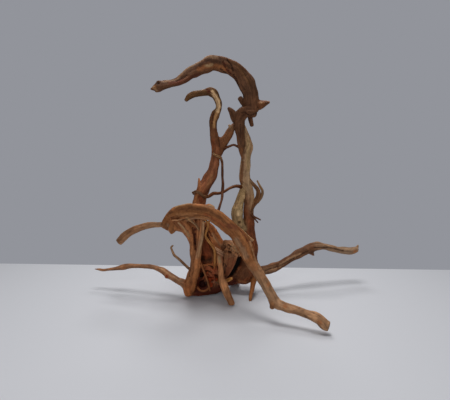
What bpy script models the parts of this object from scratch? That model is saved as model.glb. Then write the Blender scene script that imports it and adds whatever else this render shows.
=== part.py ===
"""Red moor wood root: one dried and peeled bog root, standing on its burl.

The wood grew as one piece, so it is one solid. It is built as the root grew: every root is a tapering
tube carried along its own route, and all the tubes are joined into one body, then sawn flat where it rests.

Units are metres; routes are drawn in millimetres. +Z is up, +X runs to the right and +Y to the back as
one faces the arch. The origin is on the sawn flat under the burl.
"""

import math

import bmesh
import bpy
from mathutils import Vector

# The whole root is sized by its spread, from the tip of the low left root to the end of the right root
SPREAD = 0.554  # metres
DRAWN_SPREAD = 554  # millimetres, the same spread as the routes below are drawn
MM = SPREAD / DRAWN_SPREAD  # one drawn millimetre, in metres

# How finely a root is cut into rings and sides
RING_STEP = 1.5  # ring spacing, as a share of the local half thickness
RING_STEP_LEAST = 7.5  # mm
SIDES_BY_GIRTH = ((9.0, 11), (5.0, 9), (3.7, 7), (0.0, 6))  # widest half thickness in mm, sides

# Cross-section: a rounded three-lobed stem whose lobes wind slowly round it
LOBES = 3
LOBE_DEPTH = 0.07
LOBE_TURN = 0.012  # radians for each mm along the root

# Ends
CUT_EDGE = 0.12  # a sawn or snapped end has its rim eased by this share of the half thickness
ROUND_END = 0.55  # a worn end bulges by this share of the half thickness

SAW_DEPTH = 30  # mm of the block that saws the resting flat
SAW_REACH = 800  # mm

# Edges shorter than these are closed up, in mm
SLIVER_WHERE_ROOTS_MEET = 0.3
SLIVER_ON_THE_FLAT = 0.01


def steepness(knots, values, i):
    """Slope at knot i of a smooth curve through the values, from the chords on either side."""
    last = len(knots) - 1
    if i == 0:
        return (values[1] - values[0]) / (knots[1] - knots[0])
    if i == last:
        return (values[last] - values[last - 1]) / (knots[last] - knots[last - 1])
    before, after = knots[i] - knots[i - 1], knots[i + 1] - knots[i]
    left = (values[i] - values[i - 1]) / before
    right = (values[i + 1] - values[i]) / after
    return (left * after + right * before) / (before + after)


def smooth_route(stations):
    """Points and half thicknesses along a smooth curve through the stations, a ring apart."""
    points = [Vector(station[:3]) for station in stations]
    girths = [station[3] for station in stations]
    knots = [0.0]
    for a, b in zip(points, points[1:]):
        knots.append(knots[-1] + (b - a).length)
    slopes = [steepness(knots, points, i) for i in range(len(points))]
    girth_slopes = [steepness(knots, girths, i) for i in range(len(points))]
    route = []
    for i in range(len(points) - 1):
        span = knots[i + 1] - knots[i]
        step = max(RING_STEP_LEAST, RING_STEP * (girths[i] + girths[i + 1]) / 2)
        pieces = max(1, round(span / step))
        for k in range(pieces):
            t = k / pieces
            h00, h01 = (1 + 2 * t) * (1 - t) ** 2, t * t * (3 - 2 * t)
            h10, h11 = t * (1 - t) ** 2 * span, t * t * (t - 1) * span
            point = h00 * points[i] + h01 * points[i + 1] + h10 * slopes[i] + h11 * slopes[i + 1]
            girth = h00 * girths[i] + h01 * girths[i + 1] + h10 * girth_slopes[i] + h11 * girth_slopes[i + 1]
            route.append((point, max(girth, min(girths[i], girths[i + 1]))))
    route.append((points[-1], girths[-1]))
    return route


def frames(route, facing):
    """Tangent, sideways and facing directions at each point; facing is kept as near as the route allows."""
    found = []
    for i, (point, _) in enumerate(route):
        ahead = route[min(i + 1, len(route) - 1)][0]
        behind = route[max(i - 1, 0)][0]
        tangent = (ahead - behind).normalized()
        deep = (facing - facing.dot(tangent) * tangent).normalized()
        found.append((tangent, tangent.cross(deep), deep))
    return found


def ring_of(mesh, centre, wide, deep, girth, flat, sides, phase):
    """One ring of a root's skin: an ellipse with shallow lobes."""
    ring = []
    for k in range(sides):
        angle = math.tau * k / sides
        reach = girth * (1 + LOBE_DEPTH * math.cos(LOBES * angle + phase))
        offset = wide * math.cos(angle) * reach + deep * math.sin(angle) * reach * flat
        ring.append(mesh.verts.new((centre + offset) * MM))
    return ring


def close_end(mesh, ring, tip):
    """Closes a ring with triangles that meet at the tip."""
    point = mesh.verts.new(tip * MM)
    for a, b in zip(ring, ring[1:] + ring[:1]):
        mesh.faces.new((a, b, point))


def root(name, stations, flat=1.0, ends=("worn", "worn"), facing=(0, 1, 0)):
    """A tapering root through stations of (across, back, up, half thickness), in millimetres.

    flat is its thickness from front to back as a share of its width; each end is worn round or cut square.
    """
    widest = max(station[3] for station in stations)
    sides = next(count for least, count in SIDES_BY_GIRTH if widest >= least)
    route = smooth_route(stations)
    mesh = bmesh.new()
    rings = []
    travelled = 0.0
    found = frames(route, Vector(facing))
    for i, ((point, girth), (_, wide, deep)) in enumerate(zip(route, found)):
        if i:
            travelled += (point - route[i - 1][0]).length
        rings.append(ring_of(mesh, point, wide, deep, girth, flat, sides, LOBE_TURN * travelled))
    for ring, following in zip(rings, rings[1:]):
        for k in range(sides):
            j = (k + 1) % sides
            mesh.faces.new((ring[k], ring[j], following[j], following[k]))
    for index, end, sign in ((0, ends[0], -1), (-1, ends[1], 1)):
        (point, girth), (tangent, _, _) = route[index], found[index]
        bulge = {"worn": ROUND_END, "cut": CUT_EDGE}[end] * girth
        close_end(mesh, rings[index], point + sign * tangent * bulge)
    bmesh.ops.recalc_face_normals(mesh, faces=mesh.faces)
    data = bpy.data.meshes.new(name)
    mesh.to_mesh(data)
    mesh.free()
    made = bpy.data.objects.new(name, data)
    bpy.context.scene.collection.objects.link(made)
    return made


def front_arch():
    """The flattened root that arches over the front from the left plate and runs out low on the right."""
    arch = [
        (-84, -38, 149, 11),
        (-75, -44, 162, 14.5),
        (-58, -52, 173, 17),
        (-38, -59, 179, 14),
        (-10, -66, 177, 12),
        (20, -71, 160, 12),
        (52, -80, 126, 14),
        (61, -86, 105, 12),
        (81, -100, 64, 8),
        (100, -114, 33, 10),
        (117, -120, 32, 8),
        (150, -134, 25, 7.5),
        (163, -140, 23, 9),
        (178, -148, 14, 7),
    ]
    plate_spur = [(-70, -46, 151, 9), (-76, -46, 141, 5), (-78, -44, 133, 1.5)]
    splinter = [(50, -79, 142, 5.0), (59, -81, 136, 3.0), (68, -82, 131, 0.9)]
    return [
        root("front_arch", arch, flat=0.72, ends=("worn", "cut")),
        root("plate_spur", plate_spur, flat=0.6),
        root("arch_splinter", splinter, flat=0.7),
    ]


def left_arm():
    """The short branch that leaves the plate to the left and ends sawn."""
    arm = [
        (-72, -42, 155, 7.5),
        (-100, -35, 149, 5),
        (-128, -29, 145, 6),
        (-156, -25, 133, 7),
        (-180, -21, 112, 6.5),
    ]
    return [root("left_arm", arm, flat=0.85, ends=("worn", "cut"))]


def legs():
    """The sheet of wood from the plate down to the left foot, and the paler strand that lies over it."""
    sheet = [
        (-60, -48, 162, 14.5),
        (-49, -44, 149, 15.5),
        (-40, -38, 127, 11.5),
        (-38, -31, 92, 9.5),
        (-43, -21, 46, 11.5),
        (-53, -12, 1, 8),
    ]
    pale = [
        (-22, -60, 174, 6),
        (-17, -53, 132, 6),
        (-23, -47, 105, 6.5),
        (-28, -41, 80, 8),
        (-45, -20, 21, 7.5),
    ]
    return [root("sheet_leg", sheet, flat=0.75), root("pale_leg", pale, flat=0.8)]


def left_trunk():
    """The left trunk, from the burl up to its fork, with the small hook above and the stub that leans right."""
    trunk = [
        (-4, 6, 31, 20),
        (-8, 2, 66, 19),
        (-20, -4, 113, 14),
        (-29, -8, 141, 11.5),
        (-31, -9, 172, 11.5),
        (-26, -7, 199, 12),
        (-18, -5, 217, 13),
        (-2, 0, 247, 10),
        (5, 3, 285, 10),
        (-1, 4, 322, 7),
        (-1, 3, 340, 7),
        (7, 1, 362, 6),
        (5, -1, 379, 6.5),
        (-2, -4, 389, 8),
        (-14, -7, 389, 6.5),
        (-38, -12, 384, 6),
        (-50, -14, 374, 3),
    ]
    fork = [
        (5, 3, 274, 8.5),
        (14, 5, 293, 8.5),
        (28, 8, 316, 7),
        (37, 12, 332, 4),
    ]
    fork_nub = [(33, 9, 322, 3.5), (27, 5, 330, 1.5)]
    strand = [
        (-34, -14, 182, 6),
        (-31, -13, 203, 6),
        (-28, -9, 224, 3),
        (-29, -8, 232, 1.5),
    ]
    return [
        root("left_trunk", trunk),
        root("left_fork", fork),
        root("fork_nub", fork_nub),
        root("trunk_strand", strand),
    ]


def right_trunk():
    """The right trunk, from its swollen foot up to where the dark wood of the great hook lies over it."""
    trunk = [
        (57, 14, 30, 22),
        (64, 10, 53, 21.5),
        (71, 8, 84, 14.5),
        (68, 9, 117, 12),
        (65, 10, 160, 9.5),
        (62, 7, 208, 9),
        (58, 6, 238, 9.5),
        (62, 5, 285, 9.5),
        (62, 5, 302, 8.5),
        (57, 5, 327, 3),
    ]
    bulge = [
        (57, 2, 217, 5.5),
        (46, -5, 179, 10),
        (44, -7, 162, 11),
        (47, -5, 148, 10.5),
        (54, 0, 134, 7.5),
    ]
    return [root("right_trunk", trunk), root("trunk_bulge", bulge)]


def great_hook():
    """The heavy hook at the top: the splice that runs down the trunk, the hook itself and its four stubs."""
    hook = [
        (69, -2, 351, 9.5),
        (68, -3, 370, 13.5),
        (66, -4, 387, 13.5),
        (52, -10, 411, 13),
        (32, -17, 427, 12.5),
        (10, -24, 432, 11),
        (-3, -28, 433, 12),
        (-26, -35, 421, 9.5),
        (-48, -41, 407, 9.5),
        (-66, -46, 397, 6.5),
        (-92, -51, 389, 7.5),
        (-98, -52, 387, 5),
        (-104, -53, 385, 1.5),
    ]
    splice = [
        (68, -1, 358, 11),
        (51, -4, 349, 11),
        (46, -4, 329, 8.5),
        (48, -4, 312, 7),
        (52, -1, 279, 4.5),
        (55, 2, 266, 2.5),
    ]
    knob = [
        (73, -2, 367, 10),
        (86, -3, 367, 8.5),
        (93, -4, 369, 5.5),
        (101, -5, 371, 1.5),
    ]
    upper_stub = [(59, 0, 366, 5), (47, 5, 380, 4)]
    lower_stub = [(65, 2, 353, 6), (71, 8, 330, 4)]
    splice_spur = [(45, -4, 336, 8.5), (37, -4, 347, 6.5), (27, -3, 360, 3)]
    return [
        root("great_hook", hook, flat=0.9),
        root("hook_splice", splice),
        root("hook_knob", knob, flat=0.8),
        root("upper_stub", upper_stub),
        root("lower_stub", lower_stub),
        root("splice_spur", splice_spur, flat=0.7),
    ]


def right_root():
    """The long root that leaves the foot of the right trunk and swings up to the right."""
    long_root = [
        (74, 8, 45, 10),
        (105, 13, 46, 9),
        (132, 20, 54, 8),
        (152, 26, 64, 7),
        (172, 32, 74, 8.5),
        (200, 40, 84, 9.5),
        (230, 47, 84, 7),
        (270, 55, 74, 7),
        (293, 58, 72, 7),
        (304, 60, 75, 6),
    ]
    spur = [(199, 39, 78, 5.5), (204, 38, 68, 1.5)]
    nub = [(301, 60, 75, 3.5), (305, 60, 84, 1.5)]
    return [
        root("right_root", long_root, ends=("worn", "cut")),
        root("right_root_spur", spur),
        root("right_root_nub", nub),
    ]


def left_root():
    """The slim root that creeps out low to the left, and the twig that stands up beside it."""
    low = [
        (-50, -12, 12, 8.5),
        (-60, -13, 25, 8.5),
        (-74, -11, 33, 6.5),
        (-92, -5, 42, 7.5),
        (-110, 1, 51, 5.5),
        (-142, 8, 55, 4),
        (-182, 16, 52, 5.5),
        (-202, 20, 46, 4),
        (-231, 25, 41, 3),
        (-249, 28, 42, 0.5),
    ]
    twig = [
        (-40, -12, 52, 3.5),
        (-59, -4, 64, 2.5),
        (-76, 2, 76, 2),
        (-86, 7, 97, 1.5),
    ]
    return [root("left_root", low), root("left_twig", twig)]


def burl():
    """The knot of short thick roots that everything grows from, and the feet that it stands on."""
    cellar = [
        (-51, -12, 12, 9),
        (-31, -9, 8.5, 9.5),
        (-10, -4, 8, 10.5),
        (8, 1, 9, 11),
        (28, 8, 20, 13),
        (50, 12, 33, 18),
    ]
    heart = [(-24, 8, 40, 16), (5, 16, 46, 22), (34, 18, 48, 26), (60, 16, 46, 22)]
    saddle = [(-16, 0, 96, 12), (6, 6, 90, 15), (26, 9, 82, 17), (48, 10, 76, 19), (69, 9, 72, 15)]
    floor = [(-47, -9, 20, 11), (-24, 2, 24, 16), (2, 6, 23, 17), (26, 12, 27, 20), (52, 14, 36, 20)]
    back_foot = [(34, 18, 42, 14), (40, 38, 22, 10.5), (42, 56, 8, 8.5), (43, 62, 4, 7.5)]
    back_left_foot = [(-12, 6, 58, 13), (-26, 20, 36, 10.5), (-36, 36, 14, 8.5), (-39, 44, 4, 7.5)]
    stump = [
        (8, -34, 102, 4.5),
        (11, -37, 80, 5.5),
        (14, -41, 50, 5.5),
        (21, -43, 29, 6.5),
        (33, -47, -1, 5.5),
    ]
    peg = [
        (78, 2, 37, 7),
        (75, -12, 26, 5),
        (72, -22, 16, 4),
        (68, -31, 0, 2),
    ]
    pale_stub = [(16, -18, 33, 4), (28, -26, 40, 3), (35, -30, 45, 2)]
    return [
        root("cellar_root", cellar),
        root("burl_heart", heart),
        root("burl_saddle", saddle),
        root("burl_floor", floor),
        root("back_foot", back_foot, facing=(1, 0, 0)),
        root("back_left_foot", back_left_foot, facing=(1, 0, 0)),
        root("stump_root", stump, ends=("worn", "cut")),
        root("peg", peg, facing=(1, 0, 0)),
        root("pale_stub", pale_stub),
    ]


def inner_roots():
    """The short roots seen under the arch, between the legs and the right trunk."""
    inner = [
        (-17, -20, 156, 4.5),
        (-6, -26, 137, 7.5),
        (3, -26, 123, 9.5),
        (14, -28, 109, 10),
        (33, -38, 91, 6.5),
    ]
    cavity = [
        (37, -50, 100, 6.5),
        (32, -40, 70, 6.5),
        (27, -34, 55, 6),
        (19, -4, 30, 7),
    ]
    knot = [(23, -40, 110, 7.5), (31, -50, 110, 10), (47, -66, 106, 7)]
    ridge = [(1, -42, 108, 3), (25, -44, 96, 3.5), (37, -47, 92, 3.5)]
    pale = [
        (-4, -64, 168, 2.5),
        (-13, -52, 140, 2.5),
        (-12, -49, 128, 2.5),
        (0, -45, 108, 3),
        (4, -43, 94, 2.5),
        (2, -34, 66, 3),
        (2, -6, 52, 3.5),
    ]
    return [
        root("inner_root", inner),
        root("cavity_root", cavity),
        root("rough_knot", knot, facing=(0, 0, 1)),
        root("cross_ridge", ridge),
        root("pale_rootlet", pale),
    ]


def tangle():
    """The red rootlets that cross the hollow between the left leg and the stump."""
    fall = [
        (-31, -38, 76, 3.5),
        (-22, -38, 68, 2.5),
        (-10, -32, 42, 2.5),
        (-9, -8, 16, 3),
    ]
    upper = [(-20, -36, 66, 3), (3, -34, 76, 3), (11, -37, 82, 2.5)]
    middle = [(-17, -34, 54, 2.5), (-6, -30, 58, 3), (13, -36, 72, 2.5)]
    lower = [(-13, -34, 48, 2.5), (0, -28, 54, 3), (10, -6, 58, 3.5)]
    return [
        root("falling_rootlet", fall),
        root("tangle_upper", upper),
        root("tangle_middle", middle),
        root("tangle_lower", lower),
    ]


def rootlets():
    """The thin rootlets that hang, cross and bridge between the trunks, and the loop on the right trunk."""
    hanging = [
        (-6, -2, 277, 3),
        (6, -8, 273, 2.5),
        (12, -8, 270, 2.5),
        (15, -8, 260, 2),
        (13, -12, 235, 2),
        (15, -21, 209, 2.5),
        (13, -48, 188, 2.5),
        (9, -62, 176, 2.5),
    ]
    crossing = [
        (-38, -7, 205, 3),
        (-29, -18, 207, 2.5),
        (-13, -18, 199, 3),
        (-3, -16, 204, 3),
        (18, -19, 207, 2.5),
        (41, -7, 216, 3),
        (54, 1, 214, 4),
    ]
    bridge = [
        (12, 3, 283, 4),
        (20, 0, 288, 3),
        (37, -1, 294, 2),
        (44, -1, 291, 2),
        (55, 2, 283, 3),
    ]
    loop = [
        (60, 6, 236, 3),
        (71, 2, 225, 3),
        (84, -3, 209, 4),
        (85, -3, 199, 4.5),
        (76, 2, 179, 4.5),
        (68, 7, 167, 4),
    ]
    loop_twig = [
        (82, -7, 227, 1.5),
        (90, -4, 207, 2.5),
        (87, -3, 197, 3),
        (81, -1, 187, 3),
    ]
    twig = [(68, 6, 165, 3), (76, 0, 157, 2), (88, -5, 152, 1.2)]
    twig_b = [(73, 2, 161, 2), (83, -5, 147, 1.2)]
    return [
        root("hanging_rootlet", hanging),
        root("crossing_rootlet", crossing),
        root("bridge_rootlet", bridge),
        root("side_loop", loop),
        root("loop_twig", loop_twig),
        root("side_twig", twig),
        root("side_twig_low", twig_b),
    ]


def joined(first, others):
    """One body from the first root and all the others."""
    grown = bpy.data.collections.new("grown")
    bpy.context.scene.collection.children.link(grown)
    for other in others:
        bpy.context.scene.collection.objects.unlink(other)
        grown.objects.link(other)
    union = first.modifiers.new("grown_together", "BOOLEAN")
    union.operation = "UNION"
    union.operand_type = "COLLECTION"
    union.collection = grown
    union.solver = "EXACT"
    keep_evaluated(first)
    for other in others:
        bpy.data.objects.remove(other)
    bpy.data.collections.remove(grown)
    return first


def keep_evaluated(body):
    """Makes the body's modifiers permanent."""
    bpy.context.view_layer.update()
    graph = bpy.context.evaluated_depsgraph_get()
    made = bpy.data.meshes.new_from_object(body.evaluated_get(graph))
    body.modifiers.clear()
    body.data = made


def close_slivers(body, shortest):
    """Closes up edges shorter than this many millimetres."""
    mesh = bmesh.new()
    mesh.from_mesh(body.data)
    bmesh.ops.triangulate(mesh, faces=mesh.faces)
    bmesh.ops.dissolve_degenerate(mesh, dist=shortest * MM, edges=mesh.edges)
    bmesh.ops.triangulate(mesh, faces=mesh.faces)
    mesh.to_mesh(body.data)
    mesh.free()


def sawn_flat(body):
    """Saws off all that lies under the resting plane."""
    mesh = bmesh.new()
    bmesh.ops.create_cube(mesh, size=1.0)
    bmesh.ops.scale(mesh, vec=(SAW_REACH * MM, SAW_REACH * MM, SAW_DEPTH * MM), verts=mesh.verts)
    bmesh.ops.translate(mesh, vec=(0, 0, -SAW_DEPTH * MM / 2), verts=mesh.verts)
    data = bpy.data.meshes.new("saw_block")
    mesh.to_mesh(data)
    mesh.free()
    saw = bpy.data.objects.new("saw_block", data)
    bpy.context.scene.collection.objects.link(saw)
    cut = body.modifiers.new("resting_flat", "BOOLEAN")
    cut.operation = "DIFFERENCE"
    cut.object = saw
    cut.solver = "EXACT"
    keep_evaluated(body)
    bpy.data.objects.remove(saw)


def peeled_wood():
    """Dry peeled moor wood: red-brown, matt."""
    wood = bpy.data.materials.new("peeled_moor_wood")
    wood.use_nodes = True
    shader = wood.node_tree.nodes["Principled BSDF"]
    shader.inputs["Base Color"].default_value = (0.20, 0.092, 0.043, 1)
    shader.inputs["Roughness"].default_value = 0.72
    shader.inputs["Metallic"].default_value = 0.0
    return wood


def main():
    for old in list(bpy.data.objects):
        bpy.data.objects.remove(old)
    roots = []
    for grow in (right_trunk, left_trunk, burl, front_arch, legs, left_arm, great_hook, right_root, left_root,
                 inner_roots, tangle, rootlets):
        roots += grow()
    body = joined(roots[0], roots[1:])
    close_slivers(body, SLIVER_WHERE_ROOTS_MEET)
    sawn_flat(body)
    close_slivers(body, SLIVER_ON_THE_FLAT)
    body.name = "moor_root"
    body.data.name = "moor_root"
    body.data.materials.clear()
    body.data.materials.append(peeled_wood())
    body.data.shade_smooth()


main()
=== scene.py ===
"""Red moor wood root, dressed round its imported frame.

The root grew as one piece. Its roots are swept surfaces on numpy grids, melted into one skin. The skin is
then carved with ribs, wrinkles, knots, pits and cracks that follow the grain of the root they lie on.

Lengths are in millimetres until a mesh is made, which is in metres. +Z is up, +X to the right and +Y to the
back as one faces the arch.
"""

import itertools
import logging
import math
from abc import ABC, abstractmethod
from dataclasses import dataclass, field
from enum import Enum

import bpy
import numpy as np
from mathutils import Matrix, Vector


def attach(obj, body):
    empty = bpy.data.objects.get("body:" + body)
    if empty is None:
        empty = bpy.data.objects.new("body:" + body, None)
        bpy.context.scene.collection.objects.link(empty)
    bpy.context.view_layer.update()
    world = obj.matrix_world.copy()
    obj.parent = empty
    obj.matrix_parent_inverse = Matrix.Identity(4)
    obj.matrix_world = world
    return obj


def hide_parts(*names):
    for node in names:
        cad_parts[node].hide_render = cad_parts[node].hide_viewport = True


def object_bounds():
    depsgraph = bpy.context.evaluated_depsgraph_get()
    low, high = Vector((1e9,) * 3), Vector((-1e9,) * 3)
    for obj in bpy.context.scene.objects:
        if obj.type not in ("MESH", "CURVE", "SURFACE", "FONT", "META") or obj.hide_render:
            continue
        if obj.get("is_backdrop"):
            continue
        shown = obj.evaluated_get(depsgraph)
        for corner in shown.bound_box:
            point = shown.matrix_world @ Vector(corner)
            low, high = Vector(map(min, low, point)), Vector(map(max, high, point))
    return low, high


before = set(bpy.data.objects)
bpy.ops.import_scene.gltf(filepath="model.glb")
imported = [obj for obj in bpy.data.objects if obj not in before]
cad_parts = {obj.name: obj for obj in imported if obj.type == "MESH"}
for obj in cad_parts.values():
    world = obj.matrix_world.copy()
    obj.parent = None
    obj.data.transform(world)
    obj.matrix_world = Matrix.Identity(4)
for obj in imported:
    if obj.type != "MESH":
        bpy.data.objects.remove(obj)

logging.basicConfig(level=logging.INFO, format="%(levelname)s %(message)s")
log = logging.getLogger("moor_root")

MM = 0.001
SPINE_STEP = 1.5  # mm between the samples of a centre line, where points are measured against it
FLOOR_DROP = 0.05  # mm from the feet down to the floor
BODY = "root"
NODE = "moor_root"

Station = tuple[float, float, float, float]
Route = tuple[Station, ...]
Place = tuple[float, float, float]
Range = tuple[float, float]

SIDEWAYS: Place = (1, 0, 0)
BACK: Place = (0, 1, 0)
UP: Place = (0, 0, 1)


class Tint(Enum):
    """The colours of the wood, as sRGB hex. A few stand for painted shade or a painted highlight."""

    HOOK_BROWN = "#5f3e29"
    SMALL_HOOK = "#604025"
    TRUNK_ORANGE = "#845034"
    FORK_BROWN = "#70462a"
    STEM_TAN = "#a88766"
    BULGE_TAN = "#9b7e58"
    TRUNK_RED = "#784327"
    ARCH_BROWN = "#84532f"
    ARM_BROWN = "#855f43"
    LEG_BROWN = "#97613c"
    STRAND_TAN = "#985f38"
    INNER_ORANGE = "#9d5f36"
    KNOT_BROWN = "#996740"
    CAVITY_RED = "#743f28"
    BURL_RED = "#7f3010"
    BURL_LOW = "#4f1f11"
    STUMP_TAN = "#a9734c"
    LOW_ROOT = "#957052"
    OLIVE_BROWN = "#816248"
    HAIR_BROWN = "#70462d"
    LOOP_TAN = "#9a7858"
    HONEY = "#ad7f52"
    RUST = "#8a4325"
    GOLD = "#bd8348"
    PALE = "#a3835f"
    CREAM = "#c6a67c"
    LEFT_BROWN = "#835b40"
    RIGHT_BROWN = "#66422b"
    FAR_TAN = "#8f7056"
    # bare wood with a painted highlight, for the lit face of the small hook
    BARE_LIT_HOOK = "#dab284"
    PINKISH = "#a3785a"
    MAROON = "#5f2f20"
    UMBER = "#432a1c"
    # painted shade: near black for the pits, the notch at the hook's tip and the slot
    SHADE_BLACK = "#150b06"


class End(Enum):
    """How a root ends: outward step and width, as shares of the half thickness, of each ring past the end."""

    WORN = ((0.30, 0.93), (0.58, 0.74), (0.76, 0.44))
    SAWN = ((0.02, 0.97), (0.07, 0.90), (0.09, 0.55))
    SPLIT = ((0.10, 0.90), (0.35, 0.72), (0.45, 0.40))


def linear_rgb(hex_colour: str) -> tuple[float, float, float]:
    """Turns an sRGB hex colour to linear light.

    Args:
        hex_colour: Such as "#8c6044".

    Returns:
        Red, green and blue from 0 to 1.
    """
    channels = (int(hex_colour[i:i + 2], 16) / 255 for i in (1, 3, 5))
    return tuple(c / 12.92 if c <= 0.04045 else ((c + 0.055) / 1.055) ** 2.4 for c in channels)


def unit(vectors: np.ndarray) -> np.ndarray:
    """Returns the vectors, one a row, at length one."""
    return vectors / np.maximum(np.linalg.norm(vectors, axis=-1, keepdims=True), 1e-9)


def smooth_between(low: float, high: float, values: np.ndarray) -> np.ndarray:
    """Returns 0 below low, 1 above high, and an S curve between them."""
    t = np.clip((values - low) / (high - low), 0, 1)
    return t * t * (3 - 2 * t)


class LatticeNoise:
    """Smooth noise in space: random slopes at whole-number points, blended between the eight nearest."""

    def __init__(self, seed: int) -> None:
        """Draws the slopes and the order in which the lattice uses them.

        Args:
            seed: Gives the same noise each time.
        """
        draw = np.random.default_rng(seed)
        self.order = np.tile(draw.permutation(256), 3)
        self.slopes = unit(draw.normal(size=(256, 3)))

    def __call__(self, places: np.ndarray) -> np.ndarray:
        """Returns the noise at the places, one a row, from about -1 to 1."""
        cell = np.floor(places)
        inside = places - cell
        cell = cell.astype(int) & 255
        fade = inside ** 3 * (inside * (inside * 6 - 15) + 10)
        total = np.zeros(len(places))
        for corner in itertools.product((0, 1), repeat=3):
            step = np.array(corner)
            index = self.order[cell[:, 0] + step[0]] + cell[:, 1] + step[1]
            index = self.order[self.order[index] + cell[:, 2] + step[2]]
            share = np.prod(np.where(step, fade, 1 - fade), axis=1)
            total += share * np.einsum("ij,ij->i", self.slopes[index], inside - step)
        return total * 1.6


@dataclass(frozen=True)
class Root:
    """One root, as it leaves the body.

    A station is (across, back, up, half thickness). flat is the thickness along facing as a share of the
    width, and ribs is the depth of the lengthwise ribs as a share of the usual. The first end is sunk in
    the wood, and end is how the last one looks.
    """

    name: str
    tint: Tint
    route: Route
    flat: float = 1.0
    ribs: float = 1.0
    end: End = End.WORN
    facing: Place = BACK


@dataclass(frozen=True)
class Spine:
    """A root's centre line, sampled evenly, with the directions along and across it."""

    points: np.ndarray
    along: np.ndarray
    girth: np.ndarray
    ahead: np.ndarray
    wide: np.ndarray
    deep: np.ndarray

    @classmethod
    def of(cls, root: Root, spacing: float) -> "Spine":
        """Samples the smooth curve through a root's stations.

        Between two stations the curve is the cubic that meets both, with the slope at each station weighted
        from the chords on either side. The half thickness follows the same rule, and never dips under both.

        Args:
            root: The root to follow.
            spacing: Distance between samples, in mm.

        Returns:
            The sampled centre line.
        """
        stations = np.array(root.route, dtype=float)
        steps = np.linalg.norm(np.diff(stations[:, :3], axis=0), axis=1)
        knots = np.concatenate(((0,), np.cumsum(steps)))
        chords = np.diff(stations, axis=0) / steps[:, None]
        slopes = np.empty_like(stations)
        slopes[0], slopes[-1] = chords[0], chords[-1]
        before, after = steps[:-1, None], steps[1:, None]
        slopes[1:-1] = (chords[:-1] * after + chords[1:] * before) / (before + after)
        at = np.linspace(0, knots[-1], max(3, math.ceil(knots[-1] / spacing) + 1))
        i = np.clip(np.searchsorted(knots, at, side="right") - 1, 0, len(steps) - 1)
        t = ((at - knots[i]) / steps[i])[:, None]
        curve = ((1 + 2 * t) * (1 - t) ** 2 * stations[i] + t * t * (3 - 2 * t) * stations[i + 1]
                 + t * (1 - t) ** 2 * steps[i, None] * slopes[i]
                 + t * t * (t - 1) * steps[i, None] * slopes[i + 1])
        girth = np.maximum(curve[:, 3], np.minimum(stations[i, 3], stations[i + 1, 3]))
        points = curve[:, :3]
        ahead = unit(np.gradient(points, axis=0))
        facing = np.array(root.facing, dtype=float)
        deep = unit(facing - (ahead @ facing)[:, None] * ahead)
        return cls(points, at, girth, ahead, np.cross(ahead, deep), deep)


@dataclass(frozen=True)
class Sweep:
    """A root's skin: a ribbed oval profile carried along its spine, closed at both ends."""

    root: Root
    number: int
    spacing: float = 1.4
    sides: int = 36
    lobes: tuple[tuple[int, float, float], ...] = ((2, 0.055, 0.006), (3, 0.07, 0.011), (5, 0.035, -0.015),
                                                   (8, 0.02, 0.02))
    sway: float = 0.05
    swells: tuple[tuple[float, float], ...] = ((9.0, 0.045), (4.3, 0.025))

    def profile(self, turn: np.ndarray, along: np.ndarray) -> np.ndarray:
        """Gives the reach of the profile as a share of the half thickness.

        It is 1 plus a few cosines round the root. Each has its own number of lobes, depth and phase, and
        the phase winds slowly along the root.

        Args:
            turn: Angles round the root, in radians.
            along: Distances along the root, in mm.

        Returns:
            The reach for each angle and distance.
        """
        reach = np.ones(np.broadcast(turn, along).shape)
        for lobes, depth, winding in self.lobes:
            phase = self.number * 2.4 + lobes + winding * along + 0.9 * np.sin(along / (17 + 5 * lobes))
            reach = reach + self.root.ribs * depth * np.cos(lobes * turn + phase)
        return reach

    def swell(self, along: np.ndarray) -> np.ndarray:
        """Returns how thick the root is as a share of what its stations say: 1 plus two sines."""
        return 1 + sum(depth * np.sin(along / length + 1.7 * self.number) for length, depth in self.swells)

    def surface(self) -> tuple[np.ndarray, np.ndarray, np.ndarray]:
        """Carries the profile along the spine.

        A point of ring i at angle t is centre + reach * girth * (cos t * wide + flat * sin t * deep). The
        rings past each end follow the End's steps, and a pole closes them.

        Returns:
            Points in mm, quads and triangles, the last two as point numbers.
        """
        spine = Spine.of(self.root, self.spacing)
        start, stop = np.array(End.WORN.value), np.array(self.root.end.value)
        first, last = np.zeros(len(start), int), np.full(len(stop), len(spine.along) - 1)
        pick = np.concatenate((first, np.arange(len(spine.along)), last))
        past = np.concatenate((-start[::-1, 0], np.zeros(len(spine.along)), stop[:, 0]))
        narrow = np.concatenate((start[::-1, 1], np.ones(len(spine.along)), stop[:, 1]))
        girth = spine.girth[pick] * self.swell(spine.along[pick])
        wobble = self.sway * np.sin(spine.along[pick] / 19 + self.number) * girth
        centre = spine.points[pick] + (past * girth)[:, None] * spine.ahead[pick]
        centre = centre + wobble[:, None] * spine.deep[pick]
        turn = np.linspace(0, math.tau, self.sides, endpoint=False)[None, :]
        reach = (narrow * girth)[:, None] * self.profile(turn, spine.along[pick][:, None])
        across = (np.cos(turn) * reach)[..., None] * spine.wide[pick][:, None]
        through = (np.sin(turn) * reach * self.root.flat)[..., None] * spine.deep[pick][:, None]
        rings = centre[:, None] + across + through
        poles = np.stack((centre[0], centre[-1]))
        count = len(pick)
        grid = np.arange(count * self.sides).reshape(count, self.sides)
        side = np.roll(grid, -1, axis=1)
        quads = np.stack((grid[:-1], side[:-1], side[1:], grid[1:]), axis=-1).reshape(-1, 4)
        tip, base = grid.size + 1, grid.size
        fans = np.concatenate((
            np.stack((side[0], grid[0], np.full(self.sides, base)), axis=-1),
            np.stack((grid[-1], side[-1], np.full(self.sides, tip)), axis=-1),
        ))
        return np.concatenate((rings.reshape(-1, 3), poles)), quads, fans


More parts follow.
